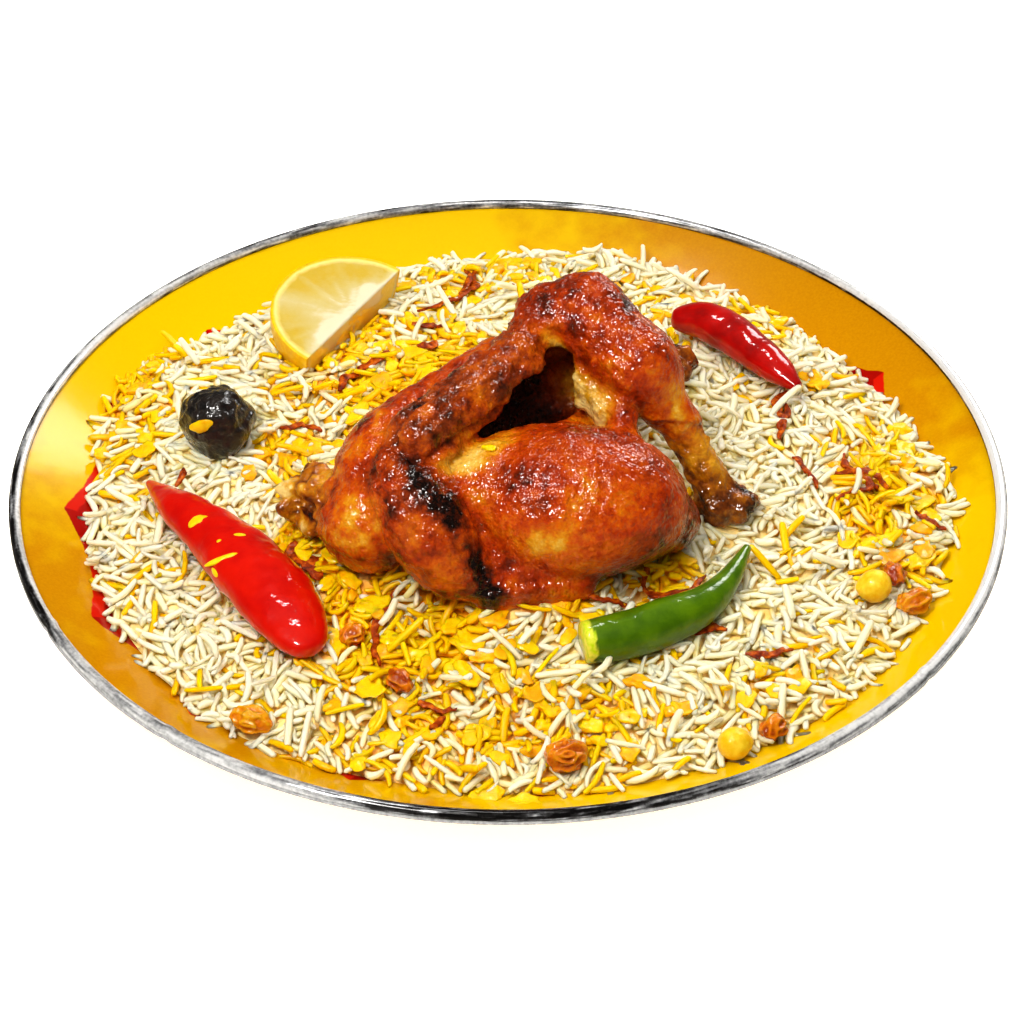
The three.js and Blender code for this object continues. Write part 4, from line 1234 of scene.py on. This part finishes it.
def grain_colours(x, y):
    """One colour for each grain"""
    count = len(x)
    spots = level_points(x, y)
    patchy = saffron_share(x, y) * (1.25 + 0.6 * lumps(spots, 14, 41) + 0.4 * lumps(spots, 6, 42))
    yellow = random.uniform(0, 1, count) < patchy
    tint = random.uniform(0, 1, count)[:, None]
    stained = np.clip(0.1 + 1.2 * saffron_share(x, y), 0, 1)[:, None] * tint
    white = WHITE_GRAIN * (1 - stained) + CREAM_GRAIN * stained
    deep = YELLOW_GRAIN * (1 - 0.7 * tint) + DEEP_GRAIN * 0.7 * tint
    return np.where(yellow[:, None], deep, white)


def painted_gap_shade(field, points, tint):
    """Grain colours with painted shade: they turn to a warm yellow down between the grains, where shade falls
    """
    x, y = points[:, 0], points[:, 1]
    depth = field.even[field.cells(x, y)] + 1.0 - points[:, 2]
    share = smoothstep(0.3, 3.6, depth)[:, None]
    gap_shade = np.where(tint[:, 2:] < 0.05, YELLOW_GAP_SHADE, GAP_SHADE)
    return tint * (1 - share) + gap_shade * share


def rice_paint():
    paint = Paint(
        "rice_grain", Roughness=0.34, Specular_IOR_Level=0.3,
        Subsurface_Weight=0.9, Subsurface_Scale=0.005, Subsurface_Radius=(1.0, 0.9, 0.75),
    )
    chalk = paint.patches(2.4, 2, 0.95, 1.0)
    shade = paint.tree.nodes.new("ShaderNodeCombineColor")
    for channel in ("Red", "Green", "Blue"):
        paint.link(chalk, shade.inputs[channel])
    paint.colour(paint.mix(1.0, paint.attribute("tint", "Color"), shade.outputs[0], "MULTIPLY"))
    paint.bump(paint.noise(1.1, detail=2), 0.08)
    return paint


def core_paint():
    paint = Paint("rice_core", Roughness=0.45, Specular_IOR_Level=0.3)
    # Painted shade: the body is painted a warmer, deeper colour than the grains, as the shade between them
    clump = paint.patches(4)
    white = paint.mix(clump, (254, 222, 136), (254, 234, 170))
    yellow = paint.mix(clump, (254, 172, 0), (255, 196, 2))
    paint.colour(paint.mix(paint.attribute("saffron"), white, yellow))
    paint.bump(paint.noise(2.5, detail=4), 1.0)
    return paint


CORE_SECTORS = 264
CORE_RINGS = 82
# How far inside the heap's edge the core ends
CORE_INSET = 3


def make_core():
    """The heap's body under the loose grains"""
    angles = full_turn(CORE_SECTORS)
    points = []
    for ring in range(CORE_RINGS, 0, -1):
        radius = (heap_radius(angles) - CORE_INSET) * ring / CORE_RINGS
        x, y = radius * np.cos(angles), radius * np.sin(angles)
        points.append(np.column_stack([x, y, core_top(x, y)]))
    for ring in (1, CORE_RINGS // 3, 2 * CORE_RINGS // 3, CORE_RINGS):
        radius = (heap_radius(angles) - CORE_INSET) * ring / CORE_RINGS
        z = plate_height(radius) + 0.15
        points.append(np.column_stack([radius * np.cos(angles), radius * np.sin(angles), z]))
    # The upper side's innermost ring and the underside's have a fan each instead of faces between them
    upper, lower = (CORE_RINGS - 1) * CORE_SECTORS, CORE_RINGS * CORE_SECTORS
    faces = ring_faces(len(points), CORE_SECTORS, closed=True)
    del faces[upper:lower]
    body = np.concatenate(points)
    middle = len(body)
    for side in range(CORE_SECTORS):
        after = (side + 1) % CORE_SECTORS
        faces.append((upper + side, upper + after, middle))
        faces.append((lower + after, lower + side, middle + 1))
    top, bottom = [body[start:start + CORE_SECTORS].mean(axis=0) for start in (upper, lower)]
    body = np.vstack([body, top, bottom])
    saffron = np.clip(saffron_share(body[:, 0], body[:, 1]) * 1.7 - 0.2, 0, 1)
    make_piece("rice_core", body, faces, core_paint(), "rice", ["rice"], {"saffron": saffron})


GRAIN_PIECES = 5


def make_rice(field):
    grains = pour_rice(field)
    count = len(grains)
    bend = draw(count, *GRAIN_BEND)
    roll = random.uniform(0, 2 * math.pi, count)
    colours = grain_colours(grains[:, 0], grains[:, 1])
    paint = rice_paint()
    for part, members in enumerate(np.array_split(np.arange(count), GRAIN_PIECES)):
        points, faces = grain_mesh(grains[members], bend[members], roll[members])
        # No grain pierces the plate's wall
        on_plate = plate_height(np.hypot(points[:, 0], points[:, 1])) + 0.1
        points[:, 2] = np.maximum(points[:, 2], on_plate)
        # Painted shade down between the grains
        tint = painted_gap_shade(field, points, np.repeat(colours[members], len(points) // len(members), axis=0))
        make_piece(f"rice_grains_{part + 1}", points, faces, paint, "rice", ["rice"], colours={"tint": tint})


# Toppings

def red_paint(name, bright, dark):
    paint = Paint(name, Coat_Weight=1.0, Coat_Roughness=0.05, Roughness=0.4, Specular_IOR_Level=0.1)
    paint.colour(paint.ramp(paint.noise(12, detail=4), (0.35, dark), (0.62, bright)))
    paint.bump(paint.noise(7, detail=1), 0.5)
    paint.bump(paint.noise(2.2, detail=1), 0.12)
    return paint


def green_paint():
    paint = Paint("green_chilli", Coat_Weight=0.9, Coat_Roughness=0.07, Roughness=0.4, Specular_IOR_Level=0.1)
    skin = paint.ramp(paint.noise(9, detail=4), (0.35, (66, 100, 0)), (0.65, (88, 122, 2)))
    flesh = paint.ramp(paint.noise(3, detail=3), (0.35, (186, 210, 0)), (0.65, (240, 230, 90)))
    paint.colour(paint.mix(paint.attribute("cut"), skin, flesh))
    paint.bump(paint.noise(3.5, detail=3), 0.35)
    return paint


def make_chilli(name, paint, slot, sag):
    steps, sides = 96, 40
    places, tangents, widths, heights = chilli_form(CHILLIES[name], steps)
    along = np.linspace(0, 1, steps)
    tips = places[0] - tangents[0] * 0.3, places[-1] + tangents[-1] * 0.3
    points = tube_points(places, *frame_along(tangents), widths, heights, sides, tips)
    middle = np.vstack([np.repeat(places, sides, axis=0), places[0], places[-1]])
    outward = unit(points - middle)
    dents = -sag * (0.5 + 0.5 * lumps(points, 11, 61)) - 0.3 * sag * (1 + lumps(points, 5, 62))
    share = np.append(np.repeat(spindle(along, 0.5, 0.1, 0.1), sides), [0, 0])
    points = points + outward * (dents * share)[:, None]
    ragged = np.append(np.repeat(along, sides), [0, 1]) + 0.012 * lumps(points, 3, 63)
    cut = smoothstep(0.955, 0.962, ragged)
    faces = tube_faces(steps, sides)
    SURFACES[name] = BVHTree.FromPolygons(points.tolist(), faces)
    make_piece(name + "_skin", points, faces, paint, slot, [name], {"cut": cut})


def lemon_paint():
    paint = Paint(
        "lemon_flesh", Roughness=0.4, Coat_Weight=0.15,
        Subsurface_Weight=0.3, Subsurface_Scale=0.006, Subsurface_Radius=(1.0, 0.9, 0.6),
    )
    out = paint.attribute("out")
    fine = paint.varied(paint.attribute("streak"), paint.noise(2.5, detail=4), 0.3)
    pulp = paint.ramp(
        fine, (0.1, (202, 170, 46)), (0.4, (204, 181, 96)), (0.7, (208, 191, 128)), (1.0, (224, 216, 184))
    )
    # Painted shade and warm bounce light: the second cut, which faces away from the lamps, is painted a more
    # golden yellow than the first
    golden = paint.mix(paint.noise(5), (255, 214, 40), (255, 228, 100))
    deep = paint.between(fine, 0.7, 0.95, 0.95, 0.2)
    pulp = paint.mix(paint.math("MULTIPLY", paint.attribute("second"), deep), pulp, golden)
    pith = paint.mix(paint.noise(3), (232, 208, 104), (238, 222, 150))
    rind = paint.ramp(paint.noise(2.2, detail=3), (0.4, (238, 186, 0)), (0.6, (244, 200, 10)))
    uneven = paint.math("MULTIPLY_ADD", paint.noise(4), 0.05, out)
    inner = paint.mix(paint.between(uneven, 0.92, 0.97), pulp, pith)
    paint.colour(paint.mix(paint.between(out, 0.955, 0.975), inner, rind))
    paint.bump(paint.noise(1.8, detail=3), 0.25)
    return paint


def make_lemon():
    axis, side, rise = lemon_axes()
    first, last = np.radians(LEMON_CUTS)
    stations, face_steps, arc_steps = 90, 26, 44
    # One section: out along the first cut, round the rind and back along the second cut
    ring = [(first, step / face_steps) for step in range(face_steps)]
    ring += [(first + (last - first) * step / arc_steps, 1.0) for step in range(arc_steps + 1)]
    ring += [(last, step / face_steps) for step in range(face_steps - 1, 0, -1)]
    points, out, fan, second = [], [], [], []
    for station in range(1, stations):
        place = -math.cos(math.pi * station / stations)
        width = math.sqrt(1 - place * place)
        centre = LEMON_MIDDLE + axis * LEMON_HALF * place
        for angle, share in ring:
            towards = side * math.cos(angle) + rise * math.sin(angle)
            points.append(centre + towards * (LEMON_RADIUS * width) * share)
            out.append(1.0 if share == 1 else math.hypot(place, share * width))
            fan.append(math.atan2(share * LEMON_RADIUS * width, place * LEMON_HALF))
            second.append(1.0 if angle == last and share < 1 else 0.0)
    points, out, fan = np.array(points), np.array(out), np.array(fan)
    sacs = lumps(np.column_stack([fan * 9, out * 2.5, np.zeros(len(fan))]), 1.0, 71)
    membranes = np.abs(np.sin(fan * 4.5))
    share = np.array([angle_share[1] for angle_share in ring] * (stations - 1))
    streak = 0.5 + 0.4 * lumps(points, 13, 72) + 0.12 * sacs + 0.08 * smoothstep(0.2, 0.0, membranes)
    streak += 0.55 * smoothstep(0.34, 0.05, share + 0.12 * lumps(points, 6, 73))
    on_cut = smoothstep(1.0, 0.9, out)
    relief = on_cut * (0.3 * sacs - 0.4 + 0.3 * smoothstep(0.25, 0.0, membranes))
    half_way = (first + last) / 2
    inside = LEMON_MIDDLE + (side * math.cos(half_way) + rise * math.sin(half_way)) * 9
    points = points + unit(points - inside) * np.minimum(relief, 0)[:, None]
    points = np.vstack([points, LEMON_MIDDLE - axis * LEMON_HALF, LEMON_MIDDLE + axis * LEMON_HALF])
    values = {
        "out": np.append(out, [1, 1]),
        "streak": np.append(streak, [0.5, 0.5]),
        "second": np.append(second, [0, 0]),
    }
    faces = [face[::-1] for face in tube_faces(stations - 1, len(ring))]
    SURFACES["lemon_wedge"] = BVHTree.FromPolygons(points.tolist(), faces)
    make_piece("lemon_wedge_cut", points, faces, lemon_paint(), "lemon", ["lemon_wedge"], values)


def ball(columns, rows):
    """Unit directions and faces of a ball, tips last"""
    directions = []
    for row in range(1, rows):
        polar = math.pi * row / rows
        for column in range(columns):
            turn = 2 * math.pi * column / columns
            level = math.sin(polar)
            directions.append((level * math.cos(turn), level * math.sin(turn), -math.cos(polar)))
    directions += [(0, 0, -1), (0, 0, 1)]
    return np.array(directions), tube_faces(rows - 1, columns)


def lime_paint():
    paint = Paint("dried_lime", Coat_Weight=1.0, Coat_Roughness=0.14, Specular_IOR_Level=0.3)
    paint.colour(paint.ramp(paint.noise(5, detail=5), (0.35, (12, 11, 12)), (0.7, (44, 35, 30))))
    paint.gloss(paint.patches(3, 4, 0.3, 0.55))
    paint.bump(paint.noise(3.4, detail=2), 1.3)
    return paint


def make_lime():
    directions, faces = ball(96, 64)
    x, y, z = directions.T
    dent = 0.05 * np.sin(3 * x + 4 * y) + 0.04 * np.sin(5 * z - 3 * x + 1)
    folds = 0.9 * np.abs(lumps(directions * 15, 7, 81))
    radius = LIME_RADIUS * (1 - dent) - folds - 0.35 * (1 + lumps(directions * 15, 2.6, 82))
    points = on_rice(LIME_AT, LIME_RADIUS, LIME_SUNK) + directions * radius[:, None]
    SURFACES["dried_lime"] = BVHTree.FromPolygons(points.tolist(), faces)
    make_piece("dried_lime_shell", points, faces, lime_paint(), "dried_lime", ["dried_lime"])


def chickpea_paint():
    paint = Paint(
        "chickpea", Roughness=0.4, Coat_Weight=0.3, Specular_IOR_Level=0.2,
        Subsurface_Weight=0.2, Subsurface_Scale=0.002,
    )
    paint.colour(paint.ramp(paint.noise(3, detail=4), (0.35, (240, 188, 10)), (0.65, (250, 214, 60))))
    paint.bump(paint.noise(1.2, detail=3), 0.25)
    return paint


def make_chickpeas():
    paint = chickpea_paint()
    for name, (at, radius, turn) in CHICKPEAS.items():
        directions, faces = ball(48, 32)
        beak = 1 + 0.18 * np.clip(directions[:, 0], 0, 1) ** 6
        crease = 0.06 * bell(directions[:, 1], 0.12) * np.clip(directions[:, 0] + 0.2, 0, 1)
        size = radius * (beak - crease) + 0.12 * lumps(directions * radius, 2.5, 91) - 0.1
        shape = turned_into(directions * size[:, None], -turn, 0)
        place = on_rice(at, radius, CHICKPEA_SUNK)
        make_piece(name + "_moist", place + shape, faces, paint, "chickpea", [name])


def raisin_paint():
    paint = Paint(
        "raisin", Roughness=0.4, Coat_Weight=1.0, Coat_Roughness=0.06, Specular_IOR_Level=0.15,
        Subsurface_Weight=0.3, Subsurface_Scale=0.002, Subsurface_Radius=(1.0, 0.45, 0.1),
    )
    tone = paint.varied(paint.attribute("tone"), paint.noise(2.5, detail=4), 0.7)
    paint.colour(paint.ramp(tone, (0.1, (222, 158, 10)), (0.5, (216, 122, 0)), (0.9, (150, 54, 2))))
    paint.bump(paint.noise(1.4, detail=1.5), 0.6)
    return paint


def make_raisins():
    paint = raisin_paint()
    for number, (name, (at, semi, turn, tone)) in enumerate(RAISINS.items()):
        directions, faces = ball(56, 40)
        x, y, z = directions.T
        phase = math.radians(turn * 7)
        wrinkle = 1 - 0.09 * np.sin(5 * x + phase) * np.cos(6 * y - 2 * z + phase)
        shape = directions * wrinkle[:, None] * semi
        creases = ridges(shape + 40 * number, (9, 2.8, 2.8), 95)
        shape = shape * (1 - 0.28 * (1 - creases) * (1 - np.abs(x) ** 4))[:, None]
        shape = turned_into(shape, -turn, 0)
        place = on_rice(at, semi[2], RAISIN_SUNK)
        # Painted shade: darker in the creases and paler on the ridges
        tones = tone + 0.5 * (0.5 - creases)
        make_piece(name + "_wrinkled", place + shape, faces, paint, "raisin", [name], {"tone": tones})


# Fried onion strips that are part of the rice solid: middle, length, heading and bend
SOLID_STRIPS = [
    ((-49, -102), 38, -96, 40), ((-26, -139), 15, -20, 30),
    ((-17, 132), 32, -95, -60), ((-34, 96), 15, 20, 50),
    ((-66, 56), 18, 50, -30), ((-84, 24), 18, -10, -30), ((139, -6), 26, -65, 60), ((121, -4), 20, -68, -40),
    ((113, 28), 24, -97, 10), ((98, -112), 18, 10, 30), ((167, -30), 14, -30, 40), ((8, 128), 14, 35, 50),
]
# Other strips, as paths on the rice
LOOSE_STRIPS = [
    [(22, -82), (35, -91), (50, -90)], [(53, -66), (54, -81), (69, -85), (75, -73)],
    [(68, -103), (82, -103)], [(-85, -55), (-78, -64), (-71, -73)],
    [(135, 4), (139, -7), (144, -17), (130, -22)], [(116, 54), (112, 40), (112, 22)],
    [(-15, 150), (-17, 125), (-40, 111)], [(-64, 66), (-50, 72)], [(-29, -150), (-22, -144)],
    [(-38, 76), (-30, 82)], [(132, -4), (146, -10), (152, -14)], [(-130, -2), (-134, -10)],
]
# Half widths of the loose strips that aren't as narrow as the others, by their place in the list
BROAD_STRIPS = {2: 2.3, 3: 4.0, 7: 2.2, 9: 3.0}
NARROW_STRIP = 1.7
STRIP_HALF_HEIGHT = 0.62


def onion_paint():
    paint = Paint("fried_onion", Coat_Weight=0.3, Coat_Roughness=0.12, Roughness=0.5, Specular_IOR_Level=0.1)
    paint.colour(paint.ramp(
        paint.noise(2.6, detail=5), (0.32, (92, 26, 1)), (0.5, (156, 58, 2)), (0.68, (212, 112, 8))
    ))
    paint.bump(paint.noise(1.0, detail=4), 0.4)
    return paint


def strip_paths():
    paths = []
    for at, length, heading, bend in SOLID_STRIPS:
        along = np.linspace(-0.5, 0.5, 6)
        turn = np.radians(heading + bend * along / 2)
        away = length * along
        paths.append(np.column_stack([at[0] + away * np.cos(turn), at[1] + away * np.sin(turn)]))
    return paths + [np.array(path, float) for path in LOOSE_STRIPS]


def make_strips(field):
    steps, sides = 34, 10
    strips = []
    for number, path in enumerate(strip_paths()):
        middle, _ = catmull_rom(np.column_stack([path, np.zeros(len(path))]), steps)
        wriggle = 1.2 * lumps(middle, 6, 100 + number)
        tangent = unit(np.gradient(middle, axis=0))
        middle = middle + level_points(-tangent[:, 1], tangent[:, 0]) * wriggle[:, None]
        # It follows the rice under it, evened out along its length
        beside = itertools.product((-1.4, 0, 1.4), repeat=2)
        under = np.mean([field.at(middle[:, 0] + dx, middle[:, 1] + dy) for dx, dy in beside], axis=0)
        middle[:, 2] = np.convolve(np.pad(under, 4, mode="edge"), np.ones(9) / 9, mode="valid") + 0.9
        half = BROAD_STRIPS.get(number - len(SOLID_STRIPS), NARROW_STRIP)
        taper = spindle(np.linspace(0, 1, steps), 0.25, 0.35, 0.3)
        widths = half * (1 + 0.3 * lumps(middle, 4, 140 + number)) * taper
        side, rise = frame_along(unit(np.gradient(middle, axis=0)))
        heights = np.full(steps, STRIP_HALF_HEIGHT)
        points = tube_points(middle, side, rise, widths, heights, sides, (middle[0], middle[-1]))
        points += 0.4 * lumps(points, 1.8, 160 + number)[:, None] * (0.5, 0.5, 1)
        strips.append((points, tube_faces(steps, sides)))
    make_piece("fried_onion_strips", *joined(strips), onion_paint(), "rice", ["rice"])


# Amber pieces of soft onion: middle on the rice, length, width and heading
FLAKES = [
    ((160, -52), 16, 8, 40), ((-66, -62), 15, 10, 70), ((-74, -46), 12, 8, 10),
    ((-52, -90), 13, 9, 30), ((-30, -118), 12, 8, 100), ((-8, -118), 11, 7, 10), ((12, -134), 14, 8, 60),
    ((28, -150), 12, 8, 150), ((-62, 30), 14, 9, 60), ((-40, 74), 13, 8, 20), ((-52, 50), 12, 8, 120),
    ((-30, 48), 13, 9, 80), ((-80, 8), 12, 8, 140), ((-160, 36), 14, 9, 60), ((-150, 20), 13, 8, 110),
    ((-166, 22), 11, 7, 20), ((96, 60), 12, 7, 30), ((128, 66), 16, 8, 120), ((6, -182), 12, 7, 5),
    ((-7, -178), 14, 9, 170), ((62, -140), 12, 8, 20), ((44, -160), 11, 7, 80), ((164, 20), 12, 8, 80),
]
# Pieces that lie on another topping: which, near what point, length, width and heading
PERCHED = [
    ("red_chilli_front", (-121, -47, 42), 9, 6, 10), ("red_chilli_front", (-103, -61, 46), 6, 3, 0),
    ("red_chilli_front", (-111, -65, 46), 2.6, 2.4, 0), ("red_chilli_front", (-109, -74, 45), 13, 2.6, 8),
    ("red_chilli_front", (-112, -81, 44), 7, 2.6, -60), ("dried_lime", (-123, 3, 50), 10, 6, 50),
    ("lemon_wedge", (-56, 80, 52), 14, 2.4, 48), ("roast_chicken", (-7, -61, 87), 6, 2.8, -20),
]
PERCHED_TONE = 0.35
PERCHED_TONES = {"dried_lime": 0.0, "lemon_wedge": 0.7}
FLAKE_TRIES = 1600
FLAKE_COUNT = 175
FLAKE_SPACING = 6.5


def scattered_flakes():
    """More of them where the rice is yellow, apart from each other and clear of the toppings"""
    x, y, _ = scatter(FLAKE_TRIES, 0.93)
    spots = surface_points(x, y)
    clear = (chicken_distance(spots) > 4) & (topping_distance(spots) > 3)
    wanted = clear & (random.uniform(0, 1, FLAKE_TRIES) < 1.7 * saffron_share(x, y) - 0.14)
    flakes = []
    for i in np.flatnonzero(wanted):
        apart = all(math.hypot(x[i] - at[0], y[i] - at[1]) > FLAKE_SPACING for at, *_ in flakes)
        if apart and len(flakes) < FLAKE_COUNT:
            length, heading = random.uniform(7, 14), random.uniform(0, 180)
            flakes.append(((x[i], y[i]), length, length * random.uniform(0.5, 0.75), heading))
    return flakes


def flake_paint():
    paint = Paint(
        "soft_onion", Roughness=0.35, Coat_Weight=0.7, Specular_IOR_Level=0.2,
        Subsurface_Weight=0.6, Subsurface_Scale=0.004, Subsurface_Radius=(1.0, 0.6, 0.15),
    )
    tone = paint.math("ADD", paint.attribute("tone"), paint.noise(4, detail=4))
    paint.colour(paint.ramp(tone, (0.3, (240, 168, 0)), (0.55, (250, 194, 0)), (0.85, (255, 208, 10))))
    paint.bump(paint.noise(1.4, detail=4), 0.3)
    return paint


BACK_AND_DOWN = Vector((0, 0.78, -0.625))


def lie_on(name, at):
    """Point and outward direction on a piece, where it is first met by going back and down through a place"""
    place, outward, _, _ = SURFACES[name].ray_cast(Vector(at) - BACK_AND_DOWN * 60, BACK_AND_DOWN)
    return np.array(place), np.array(outward)


def make_perched():
    """Small pieces that follow the surface of what they lie on"""
    pieces, tones = [], []
    for number, (name, at, length, width, heading) in enumerate(PERCHED):
        place, up = lie_on(name, at)
        turn = math.radians(heading)
        forward = unit(np.cross(np.cross(up, (math.cos(turn), math.sin(turn), 0)), up))
        thick = min(width / 2, 1.0)
        directions, faces = ball(26, 16)
        shape = directions * (length / 2, width / 2, thick)
        shape[:, :2] *= (1 + 0.3 * lumps(shape + 50 * number, 3, 173))[:, None]
        shape[:, 2] += 0.7 * thick
        turned = np.array([forward, np.cross(up, forward), up])
        pieces.append((place + shape @ turned, faces))
        tones += [PERCHED_TONES.get(name, PERCHED_TONE)] * len(shape)
    make_piece("perched_pieces", *joined(pieces), flake_paint(), "rice", ["rice"], {"tone": tones})


def make_flakes(field):
    """Flakes that sag onto the rice under them"""
    flakes, tones = [], []
    for number, (at, length, width, heading) in enumerate(FLAKES + scattered_flakes()):
        directions, faces = ball(26, 16)
        shape = directions * (length / 2, width / 2, 1.8)
        shifted = shape + 50 * number
        shape[:, :2] *= (1 + 0.3 * lumps(shifted, 4, 171) + 0.15 * lumps(shifted, 2, 174))[:, None]
        curl = 0.06 * (shape[:, 1] ** 2) + 0.02 * shape[:, 0] ** 2
        shape[:, 2] += curl - 1.0 + 0.6 * lumps(shape + 30 * number, 3, 172)
        shape = turned_into(shape, -heading, random.uniform(-12, 12))
        height = field.at(at[0] + shape[:, 0], at[1] + shape[:, 1])
        flakes.append(((*at, np.percentile(height, 45) + 0.1) + shape, faces))
        tones += [random.uniform(-0.2, 0.3)] * len(shape)
    make_piece("soft_onion_flakes", *joined(flakes), flake_paint(), "rice", ["rice"], {"tone": tones})


# Surroundings, in metres

CAMERA_TARGET = Vector((0.00155, -0.02737, 0.030))
CAMERA_DISTANCE = 1.150
CAMERA_ELEVATION = math.radians(38.71)
CAMERA_LENS = 101.99


def make_camera():
    data = bpy.data.cameras.new("camera")
    data.lens = CAMERA_LENS
    camera = bpy.data.objects.new("camera", data)
    back = Vector((0, -math.cos(CAMERA_ELEVATION), math.sin(CAMERA_ELEVATION)))
    camera.location = CAMERA_TARGET + back * CAMERA_DISTANCE
    camera.rotation_euler = (math.pi / 2 - CAMERA_ELEVATION, 0, 0)
    bpy.context.collection.objects.link(camera)
    bpy.context.scene.camera = camera


LIGHT_TARGET = Vector((0, 0, 0.03))


def make_light(name, place, size, power, mirrored=True, diffuse=True, tint=(1, 1, 1)):
    """A soft light. One that isn't mirrored shows in no reflection, one that isn't diffuse only there."""
    data = bpy.data.lights.new(name, "AREA")
    data.shape = "RECTANGLE"
    data.size, data.size_y = size
    data.energy = power
    data.color = tint
    light = bpy.data.objects.new(name, data)
    light.location = place
    light.visible_glossy = mirrored
    light.visible_diffuse = diffuse
    light.rotation_euler = (LIGHT_TARGET - Vector(place)).to_track_quat("-Z", "Y").to_euler()
    bpy.context.collection.objects.link(light)


# Light of the world below the horizon and above it
WORLD_LOW = (0.45, (0.3, 0.272, 0.215, 1))
WORLD_HIGH = (0.6, (0.05, 0.046, 0.04, 1))


def make_world():
    world = bpy.data.worlds.new("studio")
    bpy.context.scene.world = world
    world.use_nodes = True
    tree = world.node_tree
    background = tree.nodes["Background"]
    place = tree.nodes.new("ShaderNodeTexCoord")
    separate = tree.nodes.new("ShaderNodeSeparateXYZ")
    height = tree.nodes.new("ShaderNodeMapRange")
    height.inputs["From Min"].default_value = -1
    ramp = tree.nodes.new("ShaderNodeValToRGB")
    tree.links.new(place.outputs["Generated"], separate.inputs[0])
    tree.links.new(separate.outputs["Z"], height.inputs["Value"])
    tree.links.new(height.outputs["Result"], ramp.inputs["Fac"])
    tree.links.new(ramp.outputs["Color"], background.inputs["Color"])
    for element, (position, colour) in zip(ramp.color_ramp.elements, (WORLD_LOW, WORLD_HIGH)):
        element.position = position
        element.color = colour


FLOOR_HALF = 6.0
BACKDROP_RADIUS = 5.9
BACKDROP_SEGMENTS = 48


def make_stage(name, points, faces, roughness, glow):
    """Pale surroundings that glow and don't show in reflections"""
    mesh = bpy.data.meshes.new(name)
    mesh.from_pydata(points, [], faces)
    paint = Paint(name, Roughness=roughness, Emission_Color=(1, 1, 1, 1), Emission_Strength=glow)
    paint.colour(paint.mix(paint.noise(60), (246, 246, 246), (250, 250, 250)))
    mesh.materials.append(paint.material)
    stage = bpy.data.objects.new(name, mesh)
    stage.visible_glossy = False
    bpy.context.collection.objects.link(stage)
    return stage


def make_floor():
    corners = [(x * FLOOR_HALF, y * FLOOR_HALF, 0) for x, y in ((-1, -1), (1, -1), (1, 1), (-1, 1))]
    make_stage("floor", corners, [(0, 1, 2, 3)], 0.7, 0.75)


def make_backdrop():
    """A pale wall far behind, for the camera alone"""
    points = revolve([(BACKDROP_RADIUS, -0.1), (BACKDROP_RADIUS, 9.0)], BACKDROP_SEGMENTS)
    wall = make_stage("backdrop", points.tolist(), ring_faces(2, BACKDROP_SEGMENTS), 0.9, 0.9)
    wall.visible_diffuse = False
    wall.visible_transmission = False
    wall.visible_shadow = False


make_camera()
make_world()
make_light("key", (-0.5, -0.6, 1.35), (0.5, 0.32), 13, tint=(1, 0.975, 0.93))
make_light("gleam", (-0.47, -0.57, 1.3), (0.2, 0.14), 5, diffuse=False)
make_light("back", (0.57, 0.96, 0.68), (0.42, 0.46), 5)
make_light("top", (-0.15, 0.55, 1.35), (0.3, 0.15), 3)
make_light("fill", (0, -0.5, 1.95), (2.6, 2.6), 30, mirrored=False, tint=(1, 0.965, 0.89))
make_floor()
make_backdrop()

make_plate()
make_rim()
make_chicken()
field = HeightMap()
make_core()
make_rice(field)
make_strips(field)
make_flakes(field)
make_chilli("red_chilli_front", red_paint("red_chilli_front", (208, 22, 1), (192, 9, 0)), "red_chilli", 0.9)
make_chilli("red_chilli_back", red_paint("red_chilli_back", (184, 7, 1), (144, 3, 1)), "red_chilli", 0.5)
make_chilli("green_chilli", green_paint(), "green_chilli", 0.4)
make_lemon()
make_lime()
make_chickpeas()
make_raisins()
make_perched()

scene = bpy.context.scene
scene.view_settings.view_transform = "Standard"
scene.view_settings.look = "Medium High Contrast"
